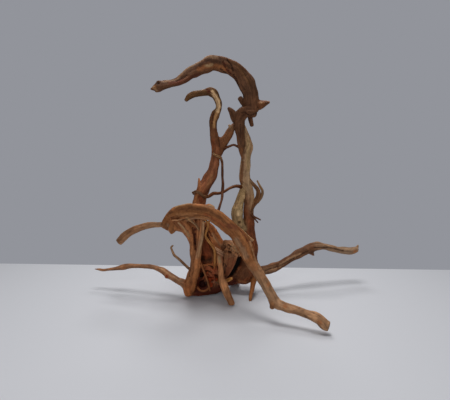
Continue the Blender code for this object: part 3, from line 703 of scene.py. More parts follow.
@dataclass(frozen=True)
class InnerRoots(Limb):
    """The short roots under the arch, between the legs and the right trunk."""

    roots: tuple[Root, ...] = (
        Root("inner_root", Tint.INNER_ORANGE, route=(
            (-14, -26, 149, 4.8), (-6, -26, 138, 7.8), (-1, -27, 126, 9.3), (6, -29, 115, 9.7),
            (14, -32, 106, 8.9), (25, -37, 99, 7.8))),
        Root("inner_shoulder", Tint.INNER_ORANGE, route=((-2, -27, 137, 4.1), (3, -28, 137, 3))),
        # back_web: a root behind the gap beside the inner root; its dark maroon is painted shade
        Root("back_web", Tint.MAROON, route=(
            (-12, -10, 145, 4.8), (-7, -10, 127, 6.5), (-1, -10, 110, 7.7), (7, -12, 94, 9.6))),
        Root("cavity_root", Tint.CAVITY_RED, route=(
            (30, -46, 99, 7), (27, -42, 84, 6), (23, -36, 69, 4.5), (20, -26, 53, 4.5), (16, -12, 42, 6))),
        Root("cavity_wall", Tint.FORK_BROWN, flat=0.4, route=(
            (30, -54, 102, 11.6), (28, -50, 88, 10.2), (25, -45, 73, 6.4), (24, -40, 60, 3.9),
            (22, -37, 52, 2.2))),
        Root("cavity_inner", Tint.CAVITY_RED, route=(
            (14, -42, 92, 3.7), (18, -40, 78, 3), (19, -38, 62, 2.2))),
        Root("cavity_edge", Tint.FORK_BROWN, route=(
            (40, -60, 99, 2.8), (36, -52, 84, 2.7), (30, -45, 68, 2.6), (24, -38, 53, 2))),
        Root("rough_knot", Tint.KNOT_BROWN, facing=UP, route=(
            (22, -40, 114, 6.8), (31, -50, 114, 8.6), (39, -58, 110, 8.4), (46, -64, 105, 6))),
        *(Root("dull_lump", Tint.RIGHT_BROWN, facing=UP, route=route) for route in (
            ((20, -44, 119, 4), (26, -50, 121, 3.4)),
            ((17, -42, 111, 4.7), (22, -46, 105, 3.6)),
            ((25, -48, 108, 4), (28, -52, 104, 3.2)),
        )),
        *(Root("pale_lump", Tint.PINKISH, facing=UP, route=route) for route in (
            ((27, -50, 113, 5), (33, -56, 113, 3.9)),
            ((33, -55, 105, 4.5), (40, -58, 101, 3.9)),
            ((31, -54, 122, 3), (38, -60, 117, 3), (43, -65, 109, 2.8), (43, -63, 100, 2.3)),
            ((-2, -44, 109, 2.5), (7, -46, 105, 2.5), (16, -47, 100, 2.4), (25, -50, 97, 2.4),
             (33, -53, 96, 2.2)),
            ((5, -43, 100, 2), (16, -45, 95, 2), (27, -49, 92, 2)),
        )),
    )
    marks: tuple[Mark, ...] = (
        Mark("wall_shade", ((32, -54, 87), (29, -50, 74), (26, -44, 61)), 8, Tint.CAVITY_RED, 0.8),
        # painted shade: dark streak in the gap beside the stump root
        Mark("wall_dark", ((20, -46, 88), (20, -43, 74), (19, -39, 62)), 3, Tint.UMBER, 0.8),
        # painted shade: near black in the deep slot
        Mark("slot", ((48, -11, 84), (47, -8, 72), (43, -2, 60), (36, -6, 50), (28, -7, 42)), 6,
             Tint.SHADE_BLACK, 1, lift=-5),
        Mark("slot_rim", ((42, -56, 98), (40, -52, 85), (33, -46, 70), (27, -40, 56)), 2, Tint.LOOP_TAN,
             0.3, lift=0.5),
        # painted shade: dark in the slit beside the stump root
        Mark("cavity_slit", ((21, -48, 92), (22, -46, 74)), 2, Tint.UMBER, 1, lift=-2),
        Mark("cavity_facet", ((31, -57, 90), (28, -52, 74)), 3.2, Tint.KNOT_BROWN, 0.25, lift=0.4),
        Mark("back_glow", ((-14, -17, 110), (-14, -18, 85)), 7, Tint.RUST, 0.8),
        Mark("inner_groove", ((-9, -33, 135), (-4, -35, 127)), 2, Tint.MAROON, 0.9, lift=-1),
        Mark("inner_light", ((-3, -34, 132), (6, -38, 119), (16, -41, 109)), 3, Tint.LOOP_TAN, 0.5),
        Mark("knot_edge", ((34, -58, 119), (39, -67, 111), (43, -70, 105)), 2, Tint.PALE, 0.8, crumble=0.7),
        Mark("knot_pale", ((33, -60, 114), (37, -64, 108)), 3.5, Tint.LOOP_TAN, 0.8),
        Mark("knot_dull", ((19, -46, 112), (25, -50, 106)), 5, Tint.RIGHT_BROWN, 0.7),
        # knot_gap, knot_gap_high and knot_gap_right: painted shade in the gaps between the knot's lumps
        Mark("knot_gap", ((24, -52, 108), (29, -57, 104)), 2.4, Tint.UMBER, 0.9, lift=-2.4),
        Mark("knot_gap_high", ((26, -54, 117), (31, -60, 115)), 2, Tint.UMBER, 0.8, lift=-2),
        Mark("knot_gap_right", ((38, -66, 104), (43, -68, 99)), 2, Tint.UMBER, 0.9, lift=-2),
        Mark("knot_crumbs", ((20, -44, 110), (40, -62, 106)), 11, crumble=2.2),
    )


@dataclass(frozen=True)
class LongRoots(Limb):
    """The long root to the right and the slim low root to the left."""

    roots: tuple[Root, ...] = (
        Root("right_root", Tint.RIGHT_BROWN, route=(
            (74, 8, 45, 10), (90, 10, 45, 9.2), (105, 13, 46, 9.1), (117, 16, 49, 8.7), (132, 20, 54, 8.1),
            (146, 24, 61, 7.2), (159, 28, 67, 7.4), (172, 32, 74, 8.5), (186, 36, 79, 9),
            (200, 40, 84, 9.6), (215, 44, 86, 8.2), (222, 46, 85, 7.2))),
        Root("far_right_root", Tint.FAR_TAN, end=End.SAWN, route=(
            (208, 42, 86, 8.6), (216, 44, 86, 8.2), (230, 47, 84, 6.9), (245, 50, 80, 7), (261, 53, 75, 7),
            (278, 56, 73, 7.3), (293, 58, 72, 7.1), (304, 60, 75, 5.8))),
        Root("right_root_spur", Tint.RIGHT_BROWN, flat=0.7, end=End.SPLIT, route=(
            (190, 38, 81, 8.3), (199, 38, 75, 6.2), (205, 38, 68, 1.9))),
        Root("right_root_nub", Tint.FAR_TAN, end=End.SPLIT, route=(
            (301, 60, 75, 3.6), (304, 60, 80, 2.6), (305, 60, 84, 1.5))),
        Root("left_root", Tint.LEFT_BROWN, route=(
            (-50, -12, 12, 8.6), (-55, -13, 20, 8.6), (-62, -13, 28, 8), (-72, -11, 32, 6.4),
            (-82, -8, 37, 6.5), (-92, -5, 42, 7.2), (-101, -2, 48, 6.5), (-112, 1, 52, 5.1),
            (-125, 4, 55, 4.4), (-142, 8, 55, 4), (-159, 12, 54, 4.2), (-174, 15, 53, 5.1),
            (-187, 17, 50, 5.3), (-202, 20, 46, 3.9), (-218, 23, 43, 3.1), (-231, 25, 41, 2.9),
            (-242, 27, 42, 1.9), (-249, 28, 42, 0.6))),
        Root("left_root_knot", Tint.LEFT_BROWN, route=((-95, -5, 45, 6.7), (-94, -8, 39, 4.7))),
        Root("left_root_bud", Tint.LEFT_BROWN, route=((-68, -12, 30, 5.5), (-65, -14, 35, 3.5))),
    )
    marks: tuple[Mark, ...] = (
        Mark("right_dark", ((183, 26, 81),), 6, Tint.UMBER, 0.5),
        Mark("right_dark_far", ((228, 40, 86),), 6, Tint.UMBER, 0.25),
        Mark("right_near", ((92, 2, 46), (104, 4, 48), (120, 8, 52)), 6, Tint.LOW_ROOT, 0.7),
        Mark("right_stripe", ((130, 11, 55), (173, 23, 76)), 3, Tint.LOW_ROOT),
        Mark("right_tip", ((296, 52, 73),), 5, Tint.STRAND_TAN, 0.8),
        Mark("right_groove", ((100, 3, 48), (130, 12, 54), (158, 21, 66), (190, 29, 80)), 1.5, Tint.UMBER,
             0.8, lift=-1),
        Mark("right_groove_far", ((205, 33, 86), (235, 40, 84), (270, 48, 75)), 1.4, Tint.UMBER, 0.8,
             lift=-0.9),
        Mark("left_ridge", ((-70, -16, 36), (-88, -11, 46), (-108, -4, 56)), 1.8, Tint.LOOP_TAN, 0.7,
             lift=0.4),
        Mark("left_knot_red", ((-93, -12, 42),), 3.5, Tint.BURL_RED, 0.9),
        Mark("left_bud_dull", ((-65, -17, 35),), 3, Tint.OLIVE_BROWN, 0.8),
        Mark("left_stain", ((-129, 2, 58),), 5, Tint.HOOK_BROWN, 0.7),
        Mark("left_stain_far", ((-183, 10, 53),), 4, Tint.FORK_BROWN, 0.8),
    )


@dataclass(frozen=True)
class HairRoots(Limb):
    """The thin rootlets that hang, cross and twine between the thicker roots."""

    roots: tuple[Root, ...] = (
        Root("trunk_ring", Tint.CREAM, route=(
            (-1, -3, 278, 2.2), (3, -8, 274, 2.5), (9, -9, 273, 2.5), (13, -7, 270, 2.2))),
        Root("hanging_rootlet", Tint.HAIR_BROWN, route=(
            (11, -8, 272, 2.2), (14, -8, 264, 2.2), (15, -10, 250, 2.3), (15, -12, 235, 2.2),
            (16, -16, 220, 2.4), (15, -21, 208, 2.5), (14, -33, 196, 2.3), (11, -45, 187, 2.1),
            (8, -58, 179, 2.3))),
        Root("crossing_left", Tint.LOOP_TAN, route=(
            (-39, -6, 204, 3.8), (-32, -19, 208, 2.8), (-25, -22, 205, 2.6), (-20, -22, 200, 2.8),
            (-13, -19, 199, 3.2))),
        Root("crossing_rootlet", Tint.ARCH_BROWN, route=(
            (-17, -20, 198, 3), (-11, -19, 199, 3.2), (-2, -16, 204, 3.2), (9, -19, 205, 2.8),
            (18, -19, 208, 2.6), (29, -14, 214, 2.8), (41, -7, 217, 3), (51, 0, 215, 3.8))),
        Root("bridge_rootlet", Tint.HAIR_BROWN, route=(
            (12, 3, 283, 3.8), (20, 0, 288, 2.8), (27, -1, 291, 2.2), (37, -1, 294, 2), (44, -1, 291, 2.1),
            (55, 2, 283, 2.8))),
        Root("side_loop", Tint.LOOP_TAN, route=(
            (62, 5, 234, 3.8), (70, 2, 225, 3.2), (77, -1, 217, 3.6), (83, -3, 209, 4.2),
            (84, -3, 199, 4.6), (81, -1, 189, 5), (75, 2, 179, 4.6), (70, 5, 168, 3.9))),
        Root("loop_twig", Tint.PALE, route=(
            (81, -7, 227, 1.7), (86, -6, 217, 2.3), (91, -4, 207, 2.6), (89, -3, 197, 2.9),
            (82, -1, 186, 2.9))),
        Root("side_twig", Tint.HAIR_BROWN, route=(
            (68, 6, 165, 2.8), (76, 0, 157, 2.1), (82, -3, 155, 1.7), (88, -5, 152, 1.3))),
        Root("side_twig_low", Tint.HAIR_BROWN, route=(
            (73, 2, 161, 1.9), (78, -3, 153, 1.5), (83, -5, 147, 1.2))),
        Root("left_twig", Tint.LOOP_TAN, route=(
            (-44, -12, 54, 3.9), (-52, -8, 58, 2.9), (-62, -4, 66, 2.6), (-72, 0, 74, 2.4),
            (-80, 3, 80, 2.3), (-84, 5, 88, 2), (-86, 6, 95, 1.9), (-83, 6, 98, 1.4))),
        Root("pale_rootlet", Tint.GOLD, route=(
            (-17, -61, 165, 1.7), (-10, -59, 158, 2.1), (-10, -57, 150, 2.3), (-13, -54, 141, 2.1),
            (-15, -52, 133, 2.1), (-11, -50, 124, 2.3), (-5, -49, 116, 2.5), (0, -47, 108, 2.7),
            (2, -45, 97, 2.7), (2, -43, 85, 2.6), (1, -38, 72, 2.2))),
        Root("pale_fork", Tint.GOLD, route=(
            (-5, -62, 166, 1.7), (-8, -60, 160, 1.8), (-10, -58, 155, 1.8))),
        Root("falling_rootlet", Tint.STRAND_TAN, route=(
            (-25, -40, 78, 1.9), (-21, -39, 68, 1.7), (-18, -37, 58, 1.6), (-14, -33, 44, 1.6),
            (-11, -29, 31, 1.6), (-9, -22, 17, 1.7))),
        Root("tangle_arc", Tint.INNER_ORANGE, route=(
            (-28, -33, 72, 2.2), (-18, -36, 72, 2), (-9, -37, 75, 2.2), (1, -37, 73, 2), (9, -36, 76, 2))),
        Root("tangle_middle", Tint.RUST, route=(
            (-21, -30, 45, 1.6), (-13, -34, 53, 1.8), (-5, -35, 51, 1.7), (1, -36, 56, 1.6),
            (9, -34, 53, 1.6))),
        Root("tangle_eye", Tint.RUST, route=(
            (-3, -36, 78, 1.7), (1, -39, 68, 1.8), (-3, -38, 58, 1.6), (1, -36, 48, 1.8),
            (-1, -31, 36, 1.7))),
        Root("tangle_low", Tint.PINKISH, route=(
            (-6, -28, 37, 1.4), (-1, -33, 39, 1.4), (5, -35, 38, 1.5), (12, -34, 34, 1.4))),
        Root("bowl_root", Tint.INNER_ORANGE, route=(
            (-34, -16, 21, 2.1), (-29, -18, 16, 2.1), (-22, -18, 14, 2.3), (-15, -17, 16, 2.1),
            (-11, -15, 20, 1.8))),
    )


@dataclass
class Skin:
    """A mesh's points and edges as arrays, in mm, with the averaging that eases it."""

    points: np.ndarray
    edges: np.ndarray
    degree: np.ndarray = field(init=False)

    def __post_init__(self) -> None:
        """Counts the edges at each point."""
        self.degree = np.maximum(np.bincount(self.edges.ravel(), minlength=len(self.points)), 1)

    def averaged(self, values: np.ndarray) -> np.ndarray:
        """Gives each point the mean of its neighbours' values.

        Args:
            values: One row, or one number, for each point.

        Returns:
            The means, in the same form.
        """
        a, b = self.edges.T
        columns = values.reshape(len(values), -1)
        total = np.stack([np.bincount(a, column[b], len(values)) + np.bincount(b, column[a], len(values))
                          for column in columns.T], axis=1)
        return (total / self.degree[:, None]).reshape(values.shape)

    def relaxed(self, rounds: int, amount: np.ndarray | float, push: float = 0.0) -> None:
        """Moves the points towards their neighbours' mean, then out again by the share push, in rounds."""
        amount = np.broadcast_to(np.asarray(amount, dtype=float).reshape(-1, 1), (len(self.points), 1))
        for _ in range(rounds):
            self.points = self.points + amount * (self.averaged(self.points) - self.points)
            if push:
                self.points = self.points - push * amount * (self.averaged(self.points) - self.points)

    def bulge(self, normals: np.ndarray, rounds: int) -> np.ndarray:
        """Tells hollows from ridges.

        The value is how far a point lies under the surface that is eased round it, in mm along the normal:
        positive in a hollow and negative on a ridge.

        Args:
            normals: Unit normals.
            rounds: Rounds of easing, which set the size of the forms it sees.

        Returns:
            One number for each point.
        """
        eased = self.points
        for _ in range(rounds):
            eased = (eased + self.averaged(eased)) / 2
        return np.einsum("ij,ij->i", eased - self.points, normals)

    def pocket_shade(self, normals: np.ndarray, reach: float, cell: float = 4.0) -> np.ndarray:
        """Tells how crowded the space in front of each point is, which sets the painted shade in pockets.

        The points are counted in cubes and the counts are spread to the cubes beside them. A point reads
        the cube that is reach in front of it.

        Args:
            normals: Unit normals.
            reach: Distance in front of the point, in mm.
            cell: Side of a cube, in mm.

        Returns:
            0 for the open half of the skin, rising to 1 in the most crowded pockets.
        """
        low = self.points.min(axis=0) - 8 * cell
        sides = np.ceil((np.ptp(self.points, axis=0) + 16 * cell) / cell).astype(int)
        cubes = np.floor((self.points - low) / cell).astype(int)
        crowd = np.bincount(np.ravel_multi_index(cubes.T, sides), minlength=sides.prod())
        crowd = crowd.reshape(sides).astype(float)
        for axis in (0, 1, 2, 0, 1, 2):
            crowd = (np.roll(crowd, 1, axis) + crowd + np.roll(crowd, -1, axis)) / 3
        ahead = np.floor((self.points + reach * normals - low) / cell).astype(int)
        seen = crowd[tuple(ahead.T)]
        for _ in range(6):
            seen = self.averaged(seen)
        return smooth_between(np.quantile(seen, 0.5), np.quantile(seen, 0.985), seen)


@dataclass
class Grain:
    """Which root each point of the skin lies on, and where on it.

    near and next hold straightened places in mm: across, through and along the nearest and second nearest
    root. meld is the share of the second, one half where two roots meet. pith is the distance from the
    middle of the nearest root.
    """

    near: np.ndarray
    next: np.ndarray
    near_girth: np.ndarray
    next_girth: np.ndarray
    gap: np.ndarray
    meld: np.ndarray
    pith: np.ndarray
    tint: np.ndarray

    FAR = 60.0
    MARGIN = 14.0
    MELD_WIDTH = 1.6
    TINT_WIDTH = 1.3
    TWIST = 0.007
    APART = np.array((37.0, 91.0, 211.0))

    @classmethod
    def of(cls, points: np.ndarray, roots: tuple[Root, ...]) -> "Grain":
        """Measures every point against every root's spine.

        The distance to a root is that to its centre line, with the depth stretched by the root's flatness,
        less its half thickness. The straightened place is turned round the root by the twist of its grain.

        Args:
            points: Points of the skin, in mm.
            roots: The roots.

        Returns:
            The grain at the points.
        """
        count = len(points)
        gap = np.full((2, count), cls.FAR)
        place = np.zeros((2, count, 3))
        girth = np.ones((2, count))
        pith = np.zeros((2, count))
        weight = np.full(count, 1e-12)
        tint = np.zeros((count, 3))
        for number, root in enumerate(roots):
            spine = Spine.of(root, SPINE_STEP)
            reach = spine.girth.max() + cls.MARGIN
            low, high = spine.points.min(axis=0) - reach, spine.points.max(axis=0) + reach
            chosen = np.flatnonzero(((points > low) & (points < high)).all(axis=1))
            if not len(chosen):
                continue
            local = points[chosen]
            distance = ((local ** 2).sum(axis=1)[:, None] + (spine.points ** 2).sum(axis=1)[None]
                        - 2 * local @ spine.points.T)
            nearest = np.argmin(np.sqrt(np.maximum(distance, 0)) - spine.girth[None], axis=1)
            offset = local - spine.points[nearest]
            across = np.einsum("ij,ij->i", offset, spine.wide[nearest])
            through = np.einsum("ij,ij->i", offset, spine.deep[nearest])
            forward = np.einsum("ij,ij->i", offset, spine.ahead[nearest])
            thick = spine.girth[nearest]
            away = np.hypot(np.hypot(across, through / root.flat), forward) - thick
            along = spine.along[nearest] + forward
            turn = np.exp(1j * cls.TWIST * along) * (across + 1j * through)
            here = np.stack((turn.real, turn.imag, along), axis=1) + number * cls.APART
            share = np.exp(-np.clip(away, -12, 12) / cls.TINT_WIDTH)
            weight[chosen] += share
            tint[chosen] += share[:, None] * np.array(linear_rgb(root.tint.value))
            first = away < gap[0, chosen]
            second = ~first & (away < gap[1, chosen])
            deep_in = np.hypot(across, through)
            for array, values in ((place, here), (girth, thick), (pith, deep_in), (gap, away)):
                array[1, chosen[first]] = array[0, chosen[first]]
                array[0, chosen[first]] = values[first]
                array[1, chosen[second]] = values[second]
        meld = 0.5 * np.exp(-(gap[1] - gap[0]) / cls.MELD_WIDTH)
        tint = tint / weight[:, None]
        return cls(place[0], place[1], girth[0], girth[1], gap[1] - gap[0], meld, pith[0], tint)

    def noise(self, seed: int, width: float, length: float) -> np.ndarray:
        """Gives noise that is stretched along the grain, and melded where two roots meet.

        Args:
            seed: Gives the same noise each time.
            width: Size across the grain, in mm.
            length: Size along the grain, in mm.

        Returns:
            One number for each point, from about -1 to 1.
        """
        noise, size = LatticeNoise(seed), (width, width, length)
        return (1 - self.meld) * noise(self.near / size) + self.meld * noise(self.next / size)


@dataclass(frozen=True)
class Carving:
    """How deep the wood is worked, in mm, with the width and length of each form along the grain."""

    rib_depth: float = 1.0
    rib_width: float = 12.0
    rib_length: float = 95.0
    edge_depth: float = 0.45
    edge_width: float = 14.0
    edge_length: float = 60.0
    groove_depth: float = 0.65
    groove_width: float = 7.0
    groove_length: float = 60.0
    groove_patch: float = 30.0
    groove_range: Range = (-0.1, 0.4)
    groove_line: float = 0.12
    lump_depth: float = 1.0
    lump_width: float = 22.0
    knot_depth: float = 0.75
    knot_width: float = 8.0
    knot_length: float = 17.0
    crumb_depth: float = 0.3
    crumb_width: float = 4.6
    fold_height: float = 1.6
    fold_width: float = 5.0
    grit_height: float = 0.6
    grit_width: float = 3.4
    crumble_level: float = 0.4
    full_girth: float = 10.0
    girth_limits: Range = (0.25, 1.2)

    def depth(self, points: np.ndarray, grain: Grain) -> np.ndarray:
        """Depth of the worked forms at the points.

        Ribs are noise stretched along the grain. Edges are such noise folded at zero, so that each fold is
        a sharp ridge. Grooves follow the zero line of another, in patches. Knots are short noise along the
        grain. Lumps and crumbs are plain noise.

        Args:
            points: Points of the skin, in mm.
            grain: The grain at the points.

        Returns:
            Outward depths, in mm.
        """
        ribs = self.rib_depth * grain.noise(11, self.rib_width, self.rib_length)
        edges = self.edge_depth * (0.5 - 2.2 * np.abs(grain.noise(13, self.edge_width, self.edge_length)))
        patch = smooth_between(*self.groove_range, LatticeNoise(14)(points / self.groove_patch))
        fold = grain.noise(12, self.groove_width, self.groove_length)
        grooves = self.groove_depth * patch * np.exp(-(fold / self.groove_line) ** 2)
        lumps = self.lump_depth * LatticeNoise(21)(points / self.lump_width)
        knots = self.knot_depth * grain.noise(15, self.knot_width, self.knot_length)
        crumbs = self.crumb_depth * LatticeNoise(22)(points / self.crumb_width)
        size = np.clip(grain.near_girth / self.full_girth, *self.girth_limits)
        return size * (ribs + edges - grooves + knots + lumps + crumbs)

    def crumble(self, points: np.ndarray) -> np.ndarray:
        """Returns the shape of crumbling wood: noise folded at zero, with finer grit on it."""
        folds = self.fold_height * np.abs(LatticeNoise(23)(points / self.fold_width))
        return self.crumble_level - folds + self.grit_height * LatticeNoise(24)(points / self.grit_width)


def toned(colours: np.ndarray, share: np.ndarray, tone: Place) -> np.ndarray:
    """Returns the colours times the tone, by the share at each point."""
    return colours * (1 + share[:, None] * (np.array(tone) - 1))


@dataclass(frozen=True)
class Weathering:
    """How peat, handling and light have shifted the colour of the skin, with painted shade in hollows and
    crowded pockets and a painted highlight on ridges.

    Sizes are in mm. A tone, such as ridge, is what red, green and blue are multiplied by. A range is the
    values of the noise or the bulge between which a tone sets in. Fine and broad forms are told by rounds
    of easing.
    """

    blotch_size: float = 30.0
    blotch_swing: float = 0.16
    hue_size: float = 45.0
    hue_swing: float = 0.07
    film_width: float = 9.0
    film_length: float = 42.0
    film_share: float = 0.5
    film_range: Range = (0.05, 0.45)
    film: Place = (0.66, 0.58, 0.52)
    bare_width: float = 13.0
    bare_length: float = 60.0
    bare_share: float = 0.6
    bare_range: Range = (0.1, 0.5)
    bare: Place = (1.28, 1.31, 1.34)
    fine_rounds: int = 6
    broad_rounds: int = 40
    # ridge tone: rubbed wear and a painted highlight on ridges
    ridge_fine: Range = (0.05, 0.4)
    ridge_broad: Range = (0.5, 1.6)
    ridge_shares: Range = (0.6, 0.3)
    ridge_wear_and_highlight: Place = (1.38, 1.40, 1.38)
    # hollow tone: painted shade in hollows
    hollow_fine: Range = (0.05, 0.35)
    hollow_broad: Range = (0.3, 2.2)
    hollow_shares: Range = (0.4, 0.6)
    hollow_limit: float = 0.95
    hollow_shade: Place = (0.38, 0.26, 0.19)
    streak_width: float = 5.0
    streak_length: float = 19.0
    streak_swing: float = 0.24
    patch_size: float = 8.0
    patch_swing: float = 0.26
    # pocket shade: painted shade in crowded pockets between roots
    pocket_shade_reach: float = 9.0
    pocket_shade_share: float = 0.55
    pocket_shade: Place = (0.50, 0.36, 0.28)

    def colours(self, skin: Skin, normals: np.ndarray, grain: Grain, marks: tuple[Mark, ...]) -> np.ndarray:
        """Works out the colour of the skin at each point.

        The roots' tints are shifted by blotches, dark films, bare patches and streaks, then take on the
        tints of the marks, some of which are painted shade or highlights. Ridges are painted paler, as
        rubbed wear and as a painted highlight, and hollows and crowded pockets get painted shade.

        Args:
            skin: The skin.
            normals: Its unit normals.
            grain: The grain at its points.
            marks: The places where the wood differs.

        Returns:
            Linear red, green and blue, one row for each point.
        """
        blotch = self.blotch_swing * LatticeNoise(41)(skin.points / self.blotch_size)
        hue = self.hue_swing * LatticeNoise(43)(skin.points / self.hue_size)
        film = smooth_between(*self.film_range, grain.noise(42, self.film_width, self.film_length))
        bare = smooth_between(*self.bare_range, grain.noise(44, self.bare_width, self.bare_length))
        shift = np.stack((1 + hue, np.ones_like(hue), 1 - hue), axis=1)
        colours = grain.tint * (1 + blotch)[:, None] * shift
        streak = 1 + self.streak_swing * grain.noise(45, self.streak_width, self.streak_length)
        streak = streak + self.patch_swing * LatticeNoise(46)(skin.points / self.patch_size)
        colours = toned(colours, self.film_share * film, self.film)
        colours = toned(colours, self.bare_share * bare, self.bare) * streak[:, None]
        for mark in marks:
            if mark.tint:
                share = mark.amount * mark.nearness(skin.points)
                colours = colours + share[:, None] * (np.array(linear_rgb(mark.tint.value)) - colours)
        # painted highlight and wear on ridges; painted shade in hollows and crowded pockets
        fine, broad = skin.bulge(normals, self.fine_rounds), skin.bulge(normals, self.broad_rounds)
        ridge_wear_and_highlight = (smooth_between(*self.ridge_fine, -fine) * self.ridge_shares[0]
                 + smooth_between(*self.ridge_broad, -broad) * self.ridge_shares[1])
        hollow_shade = (smooth_between(*self.hollow_fine, fine) * self.hollow_shares[0]
                  + smooth_between(*self.hollow_broad, broad) * self.hollow_shares[1])
        colours = toned(colours, ridge_wear_and_highlight, self.ridge_wear_and_highlight)
        colours = toned(colours, np.clip(hollow_shade, 0, self.hollow_limit), self.hollow_shade)
        return toned(colours, self.pocket_shade_share * skin.pocket_shade(normals, self.pocket_shade_reach), self.pocket_shade)


def make_mesh(name: str, points: np.ndarray, quads: np.ndarray, triangles: np.ndarray) -> bpy.types.Mesh:
    """Makes a mesh from arrays.

    Args:
        name: The mesh's name.
        points: Points in mm.
        quads: Four point numbers a row.
        triangles: Three point numbers a row.

    Returns:
        The mesh, in metres.
    """
    mesh = bpy.data.meshes.new(name)
    corners = np.concatenate((quads.ravel(), triangles.ravel())).astype(np.int32)
    starts = np.concatenate((np.arange(len(quads)) * 4, len(quads) * 4 + np.arange(len(triangles)) * 3))
    mesh.vertices.add(len(points))
    mesh.vertices.foreach_set("co", (points * MM).astype(np.float32).ravel())
    mesh.loops.add(len(corners))
    mesh.loops.foreach_set("vertex_index", corners)
    mesh.polygons.add(len(starts))
    mesh.polygons.foreach_set("loop_start", starts.astype(np.int32))
    mesh.update(calc_edges=True)
    return mesh


def swept_mesh(name: str, roots: tuple[Root, ...], spacing: float, sides: int) -> bpy.types.Mesh:
    """Sweeps roots into one mesh of closed tubes.

    Args:
        name: The mesh's name.
        roots: The roots.
        spacing: Ring spacing, in mm.
        sides: Points round a ring.

    Returns:
        The mesh.
    """
    points, quads, fans, offset = [], [], [], 0
    for number, root in enumerate(roots):
        skin, ring_faces, end_faces = Sweep(root, number, spacing, sides).surface()
        points.append(skin)
        quads.append(ring_faces + offset)
        fans.append(end_faces + offset)
        offset += len(skin)
    placed = np.concatenate(points)
    placed[:, 2] = np.maximum(placed[:, 2], 0)
    return make_mesh(name, placed, np.concatenate(quads), np.concatenate(fans))


def modified(mesh: bpy.types.Mesh, kind: str, settings: dict[str, object]) -> bpy.types.Mesh:
    """Applies one modifier to a mesh.

    Args:
        mesh: The mesh, which is removed.
        kind: The modifier's type.
        settings: Its settings.

    Returns:
        The new mesh.
    """
    holder = bpy.data.objects.new("holder", mesh)
    bpy.context.scene.collection.objects.link(holder)
    modifier = holder.modifiers.new(kind, kind)
    for name, value in settings.items():
        setattr(modifier, name, value)
    bpy.context.view_layer.update()
    made = bpy.data.meshes.new_from_object(holder.evaluated_get(bpy.context.evaluated_depsgraph_get()))
    bpy.data.objects.remove(holder)
    bpy.data.meshes.remove(mesh)
    return made


def read_points(mesh: bpy.types.Mesh) -> np.ndarray:
    """Returns a mesh's points in mm, one a row."""
    values = np.empty(len(mesh.vertices) * 3, np.float32)
    mesh.vertices.foreach_get("co", values)
    return values.reshape(-1, 3).astype(float) / MM


def read_edges(mesh: bpy.types.Mesh) -> np.ndarray:
    """Returns the two point numbers of each edge, one edge a row."""
    values = np.empty(len(mesh.edges) * 2, np.int32)
    mesh.edges.foreach_get("vertices", values)
    return values.reshape(-1, 2)


def read_normals(mesh: bpy.types.Mesh) -> np.ndarray:
    """Returns the unit normal at each point, one a row."""
    values = np.empty(len(mesh.vertices) * 3, np.float32)
    mesh.vertex_normals.foreach_get("vector", values)
    return values.reshape(-1, 3).astype(float)


def write_points(mesh: bpy.types.Mesh, points: np.ndarray) -> None:
    """Puts points in mm back into a mesh."""
    mesh.vertices.foreach_set("co", (points * MM).astype(np.float32).ravel())
    mesh.update()


def write_attribute(mesh: bpy.types.Mesh, name: str, values: np.ndarray) -> None:
    """Stores a number, vector or colour at each point.

    Args:
        mesh: The mesh.
        name: The attribute's name.
        values: One number a point, or three a point for a vector, or four a point for a colour.
    """
    kinds = {1: ("FLOAT", "value"), 3: ("FLOAT_VECTOR", "vector"), 4: ("FLOAT_COLOR", "color")}
    kind, key = kinds[1 if values.ndim == 1 else values.shape[1]]
    mesh.attributes.new(name, kind, "POINT").data.foreach_set(key, values.astype(np.float32).ravel())


def largest_body(mesh: bpy.types.Mesh) -> bpy.types.Mesh:
    """Keeps the body with the most points, and drops the closed pockets inside it.

    Each point takes the smallest point number among its neighbours until nothing changes.

    Args:
        mesh: The mesh, which is removed.

    Returns:
        The mesh of the one body.
    """
    a, b = read_edges(mesh).T
    label = np.arange(len(mesh.vertices))
    while True:
        before = label.copy()
        np.minimum.at(label, a, label[b])
        np.minimum.at(label, b, label[a])
        label = label[label]
        if (label == before).all():
            break
    kept = label == np.bincount(label).argmax()
    corners = np.empty(len(mesh.loops), np.int32)
    mesh.loops.foreach_get("vertex_index", corners)
    sizes = np.empty(len(mesh.polygons), np.int32)
    mesh.polygons.foreach_get("loop_total", sizes)
    starts = np.concatenate(((0,), np.cumsum(sizes)[:-1]))
    number = np.cumsum(kept) - 1
    quads = corners[starts[sizes == 4][:, None] + np.arange(4)]
    triangles = corners[starts[sizes == 3][:, None] + np.arange(3)]
    points = read_points(mesh)[kept]
    bpy.data.meshes.remove(mesh)
    quads, triangles = (number[faces[kept[faces[:, 0]]]] for faces in (quads, triangles))
    return make_mesh("body", points, quads, triangles)


